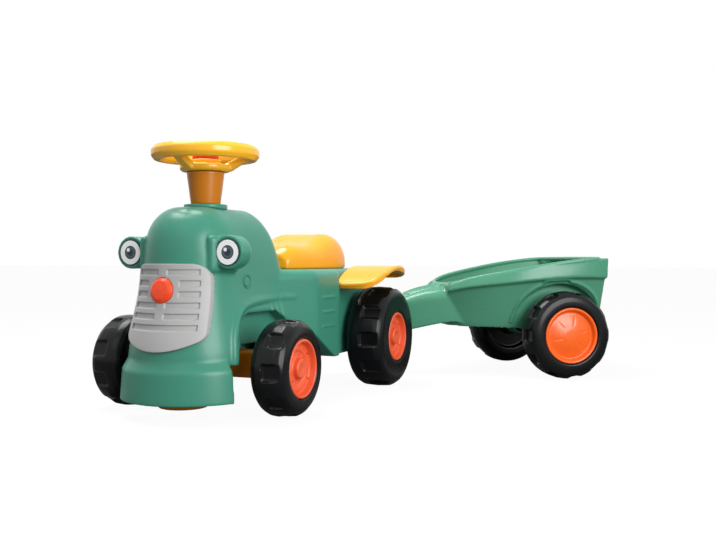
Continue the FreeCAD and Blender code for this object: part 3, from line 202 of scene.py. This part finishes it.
def bead(label, points, radius, on=None, ring=False, sunk=(0, 0, 0), fade=0.0):
    """Round bead along some points in metres, laid onto a piece's surface and sunk into it.

    Over its last third it sinks further, by fade times the sinking.
    """
    clear_selection()
    bpy.ops.curve.primitive_nurbs_path_add()
    path = bpy.context.active_object
    path.name = label
    spline = path.data.splines.new("NURBS")
    path.data.splines.remove(path.data.splines[0])
    spline.points.add(len(points) - 1)
    for point, place in zip(spline.points, points):
        point.co = (*place, 1)
    spline.order_u = 3
    spline.use_endpoint_u = not ring
    spline.use_cyclic_u = ring
    spline.resolution_u = 8
    bpy.ops.object.convert(target="MESH")
    if on is not None:
        modify(path, "SHRINKWRAP", target=on, wrap_method="NEAREST_SURFACEPOINT")
        modify(path, "SMOOTH", factor=0.5, iterations=2)
        last = len(path.data.vertices) - 1
        for i, vertex in enumerate(path.data.vertices):
            vertex.co += Vector(sunk) * MM * (1 + fade * max(0, 3 * i / last - 2))
    pick(path)
    bpy.ops.object.convert(target="CURVE")
    path.data.bevel_depth = radius * MM
    path.data.bevel_resolution = 3
    path.data.use_fill_caps = True
    bpy.ops.object.convert(target="MESH")
    return path


def turned_piece(label, outline, steps=96):
    """Closed outline of (radius, along) pairs in millimetres, spun about the Y axis."""
    clear_selection()
    bpy.ops.mesh.primitive_plane_add(size=1)
    piece = bpy.context.active_object
    piece.name = label
    bpy.ops.object.mode_set(mode="EDIT")
    bpy.ops.mesh.select_mode(type="VERT")
    bpy.ops.mesh.select_all(action="SELECT")
    bpy.ops.mesh.merge(type="CENTER")
    first = Vector((outline[0][0], outline[0][1], 0)) * MM
    bpy.ops.transform.translate(value=first)
    here = first
    for radius, along in outline[1:] + outline[:1]:
        there = Vector((radius, along, 0)) * MM
        bpy.ops.mesh.extrude_region_move(TRANSFORM_OT_translate={"value": there - here})
        here = there
    bpy.ops.mesh.select_all(action="SELECT")
    bpy.ops.mesh.remove_doubles(threshold=MERGE_GAP)
    bpy.ops.mesh.select_all(action="SELECT")
    bpy.ops.mesh.spin(steps=steps, angle=2 * math.pi, center=(0, 0, 0), axis=(0, 1, 0))
    bpy.ops.mesh.select_all(action="SELECT")
    bpy.ops.mesh.remove_doubles(threshold=MERGE_GAP)
    bpy.ops.mesh.normals_make_consistent(inside=False)
    bpy.ops.object.mode_set(mode="OBJECT")
    return piece


def round_about(piece, count, start=0.0):
    """The piece repeated round the Y axis, joined as one."""
    copies = [piece]
    piece.data.transform(Matrix.Rotation(start, 4, "Y"))
    for i in range(1, count):
        copies.append(duplicate(piece, piece.name, Matrix.Rotation(2 * math.pi * i / count, 4, "Y")))
    return joined(piece.name, copies)


# Colours and finishes


def linear(hex_code):
    """An sRGB hex colour as the linear colour that a shader takes."""
    parts = [int(hex_code[i:i + 2], 16) / 255 for i in (1, 3, 5)]
    return [c / 12.92 if c <= 0.04045 else ((c + 0.055) / 1.055) ** 2.4 for c in parts] + [1.0]


def node(tree, kind, settings=None, **links):
    """Add a node, set its sockets and fields, and link sockets by name."""
    made = tree.nodes.new(kind)
    for key, value in (settings or {}).items():
        if key in made.inputs:
            made.inputs[key].default_value = value
        else:
            setattr(made, key, value)
    for key, source in links.items():
        tree.links.new(source, made.inputs[key.replace("_", " ")])
    return made


def moulded_plastic(label, shade, lit, roughness, mottle, peel, ior=1.5):
    """Moulded plastic: slightly uneven colour, an orange-peel skin and a sheen that varies.

    mottle is the size of the cloudy colour and peel that of the skin's grain, in millimetres.
    """
    material = bpy.data.materials.new(label)
    material.use_nodes = True
    tree = material.node_tree
    shader = tree.nodes["Principled BSDF"]
    shader.inputs["IOR"].default_value = ior
    place = node(tree, "ShaderNodeTexCoord")
    cloud = node(tree, "ShaderNodeTexNoise", {"Scale": 1 / (mottle * MM), "Detail": 3.0},
                 Vector=place.outputs["Object"])
    tint = node(tree, "ShaderNodeMix", {"data_type": "RGBA"})
    tint.inputs[6].default_value = linear(shade)
    tint.inputs[7].default_value = linear(lit)
    tree.links.new(cloud.outputs["Fac"], tint.inputs[0])
    tree.links.new(tint.outputs[2], shader.inputs["Base Color"])
    sheen = node(tree, "ShaderNodeTexNoise", {"Scale": 1 / (0.4 * mottle * MM), "Detail": 2.0},
                 Vector=place.outputs["Object"])
    rough = node(tree, "ShaderNodeMapRange", {"To Min": roughness - 0.05, "To Max": roughness + 0.05},
                 Value=sheen.outputs["Fac"])
    tree.links.new(rough.outputs["Result"], shader.inputs["Roughness"])
    grain = node(tree, "ShaderNodeTexNoise", {"Scale": 1 / (peel * MM), "Detail": 1.0},
                 Vector=place.outputs["Object"])
    bump = node(tree, "ShaderNodeBump", {"Strength": 0.06, "Distance": 0.1 * MM},
                Height=grain.outputs["Fac"])
    tree.links.new(bump.outputs["Normal"], shader.inputs["Normal"])
    return material


def drawn_steel(label, hex_code, roughness, draw):
    """Drawn steel rod: bright metal with fine rings of drawing marks, their spacing in millimetres."""
    material = bpy.data.materials.new(label)
    material.use_nodes = True
    tree = material.node_tree
    shader = tree.nodes["Principled BSDF"]
    shader.inputs["Base Color"].default_value = linear(hex_code)
    shader.inputs["Metallic"].default_value = 1.0
    place = node(tree, "ShaderNodeTexCoord")
    marks = node(tree, "ShaderNodeTexNoise", {"Scale": 1 / (draw * MM), "Detail": 2.0},
                 Vector=place.outputs["Object"])
    rough = node(tree, "ShaderNodeMapRange", {"To Min": roughness - 0.08, "To Max": roughness + 0.12},
                 Value=marks.outputs["Fac"])
    tree.links.new(rough.outputs["Result"], shader.inputs["Roughness"])
    return material


# Blow-moulded polyethylene of the body: satin, slightly cloudy, with soft broad highlights
body_green = moulded_plastic("green_polyethylene", "#37826c", "#3e8973", 0.32, 70, 1.6, ior=1.4)
# The trailer's moulding is a yellower green and shinier
trailer_green = moulded_plastic("green_gloss_polyethylene", "#468a6d", "#4d9174", 0.26, 80, 2.0, ior=1.42)
# Injected polypropylene of the grille: pale grey and satin
grille_grey = moulded_plastic("grey_polypropylene", "#a6a6a6", "#aeaead", 0.4, 40, 1.2, ior=1.4)
# Shiny injected ABS of badge and horn button
badge_orange = moulded_plastic("orange_abs", "#f03c0c", "#f84e16", 0.3, 5, 1.0)
horn_red = moulded_plastic("red_abs", "#d02e10", "#d93a1a", 0.25, 12, 1.2)
# Glossy yellow polyethylene of seat, fenders, steering wheel and column
seat_yellow = moulded_plastic("yellow_gloss_polyethylene", "#ee9b08", "#f2a312", 0.22, 60, 2.0)
fender_yellow = moulded_plastic("yellow_fender_polyethylene", "#ef9f14", "#f3a720", 0.22, 60, 2.0)
wheel_yellow = moulded_plastic("yellow_wheel_polypropylene", "#f5b21a", "#f8b926", 0.22, 40, 1.6)
column_yellow = moulded_plastic("amber_polypropylene", "#bd6d04", "#c4760a", 0.3, 40, 1.6)
# Black blow-moulded wheels: smooth, with broad highlights
tyre_black = moulded_plastic("black_polyethylene", "#0b0c0e", "#101113", 0.24, 45, 1.8, ior=1.3)
# Satin hubcaps: coral on the tractor, a purer orange on the trailer
hub_coral = moulded_plastic("coral_polypropylene", "#dc5029", "#e9673f", 0.38, 9, 1.4)
hub_orange = moulded_plastic("orange_polypropylene", "#ee5a0e", "#f4691a", 0.26, 14, 1.4)
# Printed eyes on white discs
eye_white = moulded_plastic("white_print", "#fbfcfd", "#ffffff", 0.3, 14, 1.0)
eye_line = moulded_plastic("dark_print", "#1f2c35", "#26343d", 0.3, 8, 1.0)
eye_slate = moulded_plastic("slate_print", "#46565f", "#52636d", 0.3, 8, 1.0)
# Steel rods and dark nylon bearings
steel = drawn_steel("drawn_steel", "#c2c4c7", 0.32, 1.5)
nylon = moulded_plastic("dark_nylon", "#232527", "#2b2d2f", 0.45, 20, 0.8)

FINISHES = {
    "body_green": body_green, "trailer_green": trailer_green, "grille_grey": grille_grey,
    "badge_orange": badge_orange, "eye_white": eye_white, "pupil_slate": eye_slate,
    "seat_yellow": seat_yellow, "fender_yellow": fender_yellow, "steering_yellow": wheel_yellow,
    "horn_red": horn_red, "tyre_black": tyre_black, "hub_orange": hub_orange, "steel": steel,
    "dark_plastic": nylon,
}


def dress(piece, finish, slot, body, *nodes):
    """Give a finished piece its material, and tie it to its body and to the solids it stands for."""
    piece.data.materials.clear()
    piece.data.materials.append(finish)
    return tie(piece, slot, body, *nodes)


def tie(piece, slot, body, *nodes):
    """Tie a piece to its body and the solids it stands for; the colour slot is not used."""
    if nodes:
        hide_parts(*nodes)
    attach(piece, body)
    return piece


for entry in frame["record"]["subparts"]:
    solid = frame["nodes"][entry["node"]]
    solid.data.materials.clear()
    solid.data.materials.append(FINISHES[entry["material_slot"]])


# Body: shell, bumper and eye pods in one moulding, with beads round the arches and ridges on the flanks


def arch_bead(side):
    """Raised bead from the bumper's end over the wheel arch and along the flank."""
    line = [(52, 76, 66), (51, 77, 90), (46, 78, 110), (36, 79, 127), (20, 79, 138), (0, 76, 142.5),
            (-30, 72, 144), (-64, 70, 144.5), (-88, 74, 145), (-108, 83, 145)]
    return bead("arch_bead", [at(x, side * y, z) for x, y, z in line], 7, frame["nodes"]["body_shell"],
                sunk=(0, -3.6 * side, 0), fade=0.9)


def flank_ribs(side):
    """Upright ribs under the bead, between hood and waist."""
    shell = frame["nodes"]["body_shell"]
    return [bead("rib", [at(x, side * y, z) for z in (138, 131, 124, 117)], 2.2, shell)
            for x, y in ((-54, 71), (-68, 70), (-82, 72))]


def waist_ridges(side):
    """Three thin ridges near the rear of the waist."""
    return [rounded_block("ridge", 42, 6, 3.4, 1.6, at(-172, side * 93.2, z)) for z in (142, 121.5, 101)]


def pod_flange(side):
    """Squarish step on the hood's shoulder behind each eye pod."""
    turn = Matrix.Rotation(side * math.radians(66), 3, "Z")
    return rounded_block("flange", 13, 44, 46, 6, at(47.5, side * 55.4, 202.5), turn)


def build_body():
    """Soften shell and bumper, add pods and relief, and run it all together."""
    walls = ("body_shell", "front_bumper")
    pods = ("left_eye_pod", "right_eye_pod")
    shell = soften(solid_copy("body_moulding", *walls), grain=1.5, passes=10, budget=600000)
    extras = [solid_copy("pod", *pods)]
    for _, side in SIDES:
        extras += [arch_bead(side), pod_flange(side)] + flank_ribs(side) + waist_ridges(side)
    shell = joined("body_moulding", [shell] + extras)
    soften(shell, grain=1.3, passes=4, budget=195000)
    dress(shell, body_green, "body_green", "tractor", *walls, *pods)


build_body()


# Pieces that only need their solids' edges softened

# Name, solid, grain, passes, budget, finish, slot and body
SOFTENED = [
    ("grille_moulding", "grille", 0.5, 9, 90000, grille_grey, "grille_grey", "tractor"),
    ("badge_dome", "grille_badge", 0.6, 6, 20000, badge_orange, "badge_orange", "tractor"),
    ("saddle", "seat", 1.8, 8, 60000, seat_yellow, "seat_yellow", "tractor"),
    ("column_collar", "steering_collar", 1.0, 5, 30000, body_green, "body_green", "tractor"),
    ("column_cone", "steering_column", 1.2, 4, 30000, column_yellow, "steering_yellow", "steering"),
    ("steering_ring", "steering_wheel", 1.1, 9, 90000, wheel_yellow, "steering_yellow", "steering"),
    ("horn_cap", "horn_button", 0.7, 5, 20000, horn_red, "horn_red", "horn"),
]
for label, solid_name, grain, passes, budget, finish, slot, body in SOFTENED:
    piece = soften(solid_copy(label, solid_name), grain, passes, budget)
    dress(piece, finish, slot, body, solid_name)


# Axle carrier with a rounded skid under its front


def build_carrier():
    """Run the carrier and a flat round skid together."""
    clear_selection()
    bpy.ops.mesh.primitive_cylinder_add(vertices=64, radius=32 * MM, depth=9 * MM,
                                        location=at(51, 0, 16.8))
    skid = modify(settled(bpy.context.active_object), "BEVEL", width=3.5 * MM, segments=4)
    piece = joined("axle_carrier", [solid_copy("carrier", "front_axle_carrier"), skid])
    soften(piece, grain=1.6, passes=6, budget=60000)
    dress(piece, column_yellow, "steering_yellow", "steering", "front_axle_carrier")


build_carrier()


# Fenders with a thick rounded lip


def build_fender(word, side):
    """Fender with a bead along its outer edge."""
    edge = [(-223, 88, 160), (-223, 126, 160), (-230, 144, 164), (-248, 151, 175), (-290, 151, 186),
            (-326, 151, 184), (-344, 144, 178), (-351, 126, 174), (-351, 88, 174)]
    lip = bead("lip", [at(x, side * y, z) for x, y, z in edge], 4, frame["nodes"][f"{word}_fender"],
               sunk=(0, -1.5 * side, -2))
    piece = joined(f"{word}_mudguard", [solid_copy("fender", f"{word}_fender"), lip])
    soften(piece, grain=1.1, passes=6, budget=50000)
    dress(piece, fender_yellow, "fender_yellow", "tractor", f"{word}_fender")


for word, side in SIDES:
    build_fender(word, side)


# Wheels: tyre with a row of pockets in the outer part of its tread, and hubcap


def tread_pocket(radius, width, height):
    """Rounded block through the outer part of the tread at +X, running out over the shoulder."""
    inner = -0.08 * width
    reach = width / 2 + 8 - inner
    middle = Vector((radius - 0.8, inner + reach / 2, 0)) * MM
    return rounded_block("pocket", 9, reach, height, 3.2, middle)


def build_tyre(label, radius, width, cap, pockets):
    """Barrel-shaped tyre about the Y axis with its outer side at +Y."""
    half = width / 2
    outline = [
        (16, -half - 2), (16, -half + 9), (cap - 2, -half + 9), (cap - 2, -half + 1), (cap, -half),
        (radius - 16, -half), (radius - 9, -half + 1.5), (radius - 4, -half + 6), (radius - 1, -half + 12),
        (radius, 0), (radius - 1, half - 12), (radius - 4, half - 6), (radius - 9, half - 1.5),
        (radius - 16, half), (cap + 2.4, half), (cap + 0.4, half - 1.4), (cap + 0.4, half - CAP_DEPTH),
        (AXLE_BORE, half - CAP_DEPTH), (AXLE_BORE, -half - 2),
    ]
    tyre = turned_piece(label, outline)
    pocket_height = math.pi * radius / pockets
    cut(tyre, round_about(tread_pocket(radius, width, pocket_height), pockets))
    return soften(tyre, grain=1.1, passes=6, budget=44000)


def build_dish(label, width, cap):
    """Dished cap with a turned up lip, a ring step, a hub over the axle's end and small holes."""
    half = width / 2
    well = half - CAP_DEPTH
    outline = [
        (0, half - 4.5), (7, half - 2.8), (10.5, half - 2.4), (12.4, half - 3.6), (13, well + 4.5),
        (15, well + 3.6), (cap - 16, well + 3.2), (cap - 14, well + 5.4), (cap - 9.5, well + 5.8),
        (cap - 8, well + 4.4), (cap - 5.4, well + 5), (cap - 3.6, half - 0.4), (cap - 1.8, half),
        (cap, half - 1.2), (cap, well), (11, well), (10.5, half - 4.8), (0, half - 7),
    ]
    piece = turned_piece(label, outline)
    holes = 6
    for start, ring in ((0.0, 0.5 * cap), (math.pi / holes, cap - 6.5)):
        clear_selection()
        bpy.ops.mesh.primitive_cylinder_add(vertices=20, radius=1.5 * MM, depth=40 * MM)
        drill = bpy.context.active_object
        turn = Matrix.Rotation(math.radians(90), 4, "X")
        drill.data.transform(Matrix.Translation(Vector((ring * MM, half * MM, 0))) @ turn)
        cut(piece, round_about(drill, holes, start))
    return soften(piece, grain=0.8, passes=2, budget=30000)


def build_dome(label, width, cap):
    """Domed cap in a turned up lip, with shallow rays pressed into it."""
    half = width / 2
    well = half - CAP_DEPTH
    outline = [
        (0, half - 2), (10, half - 2.3), (20, half - 3.6), (28, half - 5.6), (cap - 10, half - 8),
        (cap - 8, half - 8.2), (cap - 6, half - 6.4), (cap - 4.4, half - 1.6), (cap - 2, half - 0.2),
        (cap, half - 1.4), (cap, well), (11, well), (10.5, half - 5.5), (0, half - 5.5),
    ]
    piece = turned_piece(label, outline)
    lean = Matrix.Rotation(math.radians(-13), 3, "Z")
    ray = rounded_block("ray", 22, 4, 5, 1.8, Vector((22, half - 2.6, 0)) * MM, lean)
    rays = 6
    cut(piece, round_about(ray, rays, math.pi / (2 * rays)))
    return soften(piece, grain=0.8, passes=4, budget=30000)


# Radius, width, hubcap radius, pockets, place along, place across, hubcap's form and finish
WHEELS = {
    "front": (61, 48, 37, 9, 0, 119, build_dish, hub_coral),
    "rear": (77, 59, 37, 11, -306, 121, build_dish, hub_coral),
    "trailer": (TRAILER_RADIUS, 50, 45.5, 11, TRAILER_AXLE, 130, build_dome, hub_orange),
}
for end, (radius, width, cap, pockets, along, across, build_cap, cap_finish) in WHEELS.items():
    tyre = build_tyre(f"{end}_tyre", radius, width, cap, pockets)
    dish = build_cap(f"{end}_dish", width, cap)
    for word, side in SIDES:
        if end == "trailer":
            middle, facing = towed(along, side * across, radius), TRAILER_TURN
        else:
            middle, facing = at(along, side * across, radius), 0.0
        turn = Matrix.Rotation(facing + (0 if side > 0 else math.pi), 4, "Z")
        place = Matrix.Translation(middle) @ turn
        body = f"{end}_{word}_roller"
        dress(duplicate(tyre, f"{end}_{word}_tyre", place), tyre_black, "tyre_black", body,
              f"{end}_{word}_wheel")
        dress(duplicate(dish, f"{end}_{word}_dish", place), cap_finish, "hub_orange", body,
              f"{end}_{word}_hubcap")
    bpy.data.objects.remove(tyre)
    bpy.data.objects.remove(dish)


# Trailer tub with a rolled rim, rings round its wheel arches and ridges on its neck


def rolled_rim():
    """Round bead along the tub's open edge."""
    edge = [(190, 56, 153), (222, 85, 165), (274, 109, 175), (342, 122, 187.5), (407, 126, 195.5),
            (441, 122, 197.5)]
    line = [towed(back, left, z) for back, left, z in edge]
    line += [towed(back, -left, z) for back, left, z in reversed(edge)]
    return bead("rim", line, 3.6, ring=True)


def arch_ring(side, radius):
    """Raised ring on the tub's flank round a wheel."""
    line = []
    for turn in (math.radians(degrees) for degrees in range(-5, 190, 15)):
        back = TRAILER_AXLE + radius * math.cos(turn)
        line.append(towed(back, side * 122, TRAILER_RADIUS + radius * math.sin(turn)))
    return bead("arch_ring", line, 3, frame["nodes"]["trailer_tub"])


def neck_ridges():
    """Ridges that fan out over the neck towards the tub."""
    return [bead("ridge", [towed(back, fan * back, 160) for back in (118, 134, 150, 166, 180)], 2.6,
                 frame["nodes"]["trailer_tub"])
            for fan in (-0.16, -0.055, 0.055, 0.16)]


def build_tub():
    """Soften the tub, add rim, rings and ridges, and run it all together."""
    tub = soften(solid_copy("tub_moulding", "trailer_tub"), grain=1.5, passes=10, budget=600000)
    extras = [rolled_rim()] + neck_ridges() + [arch_ring(side, 88) for _, side in SIDES]
    tub = joined("tub_moulding", [tub] + extras)
    soften(tub, grain=1.3, passes=4, budget=195000)
    dress(tub, trailer_green, "trailer_green", "trailer", "trailer_tub")


build_tub()


# Eyes: a printed disc in each pod


WHITE, LINE, SLATE = range(3)
# Width in millimetres and colour of what follows, from the rim inwards
EYE_RINGS = ((1.3, WHITE), (6.6, LINE), (1.4, SLATE), (2.6, LINE))


def build_eye(word):
    """Disc with rings of colour and a white glint, turned to face ahead."""
    clear_selection()
    bpy.ops.mesh.primitive_cylinder_add(vertices=64, radius=16.4 * MM, depth=2.2 * MM)
    eye = bpy.context.active_object
    eye.name = f"{word}_eye"
    for print_colour in (eye_white, eye_line, eye_slate):
        eye.data.materials.append(print_colour)
    bpy.ops.object.mode_set(mode="EDIT")
    bpy.ops.mesh.select_mode(type="FACE")
    bpy.ops.mesh.select_all(action="DESELECT")
    bpy.ops.object.mode_set(mode="OBJECT")
    for face in eye.data.polygons:
        face.select = face.normal.z > 0.9
        face.material_index = LINE
    bpy.ops.object.mode_set(mode="EDIT")
    for inset, colour in EYE_RINGS:
        bpy.ops.mesh.inset(thickness=inset * MM, depth=0.05 * MM)
        eye.active_material_index = colour
        bpy.ops.object.material_slot_assign()
    bpy.ops.object.mode_set(mode="OBJECT")
    clear_selection()
    bpy.ops.mesh.primitive_cylinder_add(vertices=24, radius=2.3 * MM, depth=0.4 * MM,
                                        location=(-3.2 * MM, -3.0 * MM, 1.3 * MM))
    glint = settled(bpy.context.active_object)
    glint.data.materials.append(eye_white)
    eye = joined(f"{word}_eye", [eye, glint])
    turn = Matrix.Rotation(math.radians(90), 4, "Y")
    low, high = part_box(f"{word}_eye_disc")
    eye.data.transform(Matrix.Translation((low + high) / 2) @ turn)
    tie(eye, "eye_white", "tractor", f"{word}_eye_disc", f"{word}_pupil")


for word, _ in SIDES:
    build_eye(word)


# Screw plugs: a sunk disc with a raised ring, one on each flank of the hood


def build_plugs():
    """Both plugs from one turned piece, leaning with the flanks."""
    outline = [(0, -3), (0, 0.7), (6.4, 0.7), (6.9, -1.0), (7.7, -1.0), (8.1, 0.9), (8.8, 1.2), (9.4, 0.7),
               (9.6, -3)]
    plug = soften(turned_piece("plug", outline, 64), grain=0.35, passes=3, budget=9000)
    low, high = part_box("side_plugs")
    middle = (low + high) / 2
    reach = high.y - middle.y - 1.2 * MM
    for word, side in SIDES:
        turn = Matrix.Rotation(0 if side > 0 else math.pi, 4, "Z")
        lean = Matrix.Rotation(side * math.radians(5), 4, "X")
        place = Matrix.Translation(middle + Vector((0, side * reach, 0)))
        copy = duplicate(plug, f"{word}_screw_plug", place @ lean @ turn)
        solids = ("side_plugs",) if side > 0 else ()
        dress(copy, body_green, "body_green", "tractor", *solids)
    bpy.data.objects.remove(plug)


build_plugs()


# Floor, light and camera


def build_stage():
    """White floor for the view, with soft shadows; little of it bounces back up under the toy."""
    clear_selection()
    bpy.ops.mesh.primitive_plane_add(size=1)
    floor = bpy.context.active_object
    floor.name = "studio_floor"
    floor.scale = (40, 40, 1)
    settled(floor)
    paper = bpy.data.materials.new("white_paper")
    paper.use_nodes = True
    tree = paper.node_tree
    shader = tree.nodes["Principled BSDF"]
    shader.inputs["Base Color"].default_value = linear("#f2f2f2")
    shader.inputs["Roughness"].default_value = 0.9
    dim = node(tree, "ShaderNodeBsdfDiffuse", {"Color": linear("#7c7c7c")})
    glow = node(tree, "ShaderNodeEmission", {"Strength": 1.0})
    lit = node(tree, "ShaderNodeMixShader", {"Fac": 0.95})
    tree.links.new(shader.outputs["BSDF"], lit.inputs[1])
    tree.links.new(glow.outputs["Emission"], lit.inputs[2])
    ray = node(tree, "ShaderNodeLightPath")
    blend = node(tree, "ShaderNodeMixShader", Fac=ray.outputs["Is Camera Ray"])
    tree.links.new(dim.outputs["BSDF"], blend.inputs[1])
    tree.links.new(lit.outputs["Shader"], blend.inputs[2])
    tree.links.new(blend.outputs["Shader"], tree.nodes["Material Output"].inputs["Surface"])
    floor.data.materials.append(paper)


# Name, place, width in metres and power in watts
LAMPS = (
    ("key", (700, 1700, 700), 1.2, 31),
    ("top", (-150, -350, 1450), 0.9, 24),
    ("front", (1300, 100, 1300), 0.9, 1.5),
)


def soft_light(label, place, aim, size, power):
    """Round lamp that faces the place it aims at."""
    lamp = bpy.data.lights.new(label, "AREA")
    lamp.shape = "DISK"
    lamp.size = size
    lamp.energy = power
    thing = bpy.data.objects.new(label, lamp)
    bpy.context.scene.collection.objects.link(thing)
    thing.location = place
    thing.rotation_euler = (aim - place).to_track_quat("-Z", "Y").to_euler()


def build_light():
    """Even white surroundings, which the view and mirror-like surfaces see at full strength."""
    world = bpy.data.worlds.new("studio")
    world.use_nodes = True
    bpy.context.scene.world = world
    tree = world.node_tree
    sky = tree.nodes["Background"]
    sky.inputs["Color"].default_value = (1, 1, 1, 1)
    ray = node(tree, "ShaderNodeLightPath")
    seen = node(tree, "ShaderNodeMath", {"operation": "MAXIMUM"})
    tree.links.new(ray.outputs["Is Camera Ray"], seen.inputs[0])
    tree.links.new(ray.outputs["Is Glossy Ray"], seen.inputs[1])
    clear = node(tree, "ShaderNodeMath", {"operation": "MAXIMUM"})
    tree.links.new(seen.outputs["Value"], clear.inputs[0])
    tree.links.new(ray.outputs["Is Transmission Ray"], clear.inputs[1])
    strength = node(tree, "ShaderNodeMapRange", {"To Min": 0.5, "To Max": 1.0},
                    Value=clear.outputs["Value"])
    tree.links.new(strength.outputs["Result"], sky.inputs["Strength"])
    middle = at(-150, 0, 150)
    for label, place, size, power in LAMPS:
        soft_light(label, at(*place), middle, size, power)


def build_camera():
    """Camera that sees what the photograph shows."""
    view = bpy.data.cameras.new("photo_view")
    view.sensor_fit = "HORIZONTAL"
    view.sensor_width = 36
    view.lens = CAMERA_LENS
    camera = bpy.data.objects.new("photo_view", view)
    bpy.context.scene.collection.objects.link(camera)
    camera.location = at(*CAMERA_PLACE)
    camera.rotation_euler = (math.radians(90 - CAMERA_TILT), 0, math.radians(CAMERA_TURN))
    bpy.context.scene.camera = camera


build_stage()
build_light()
build_camera()
bpy.context.scene.view_settings.view_transform = "Standard"
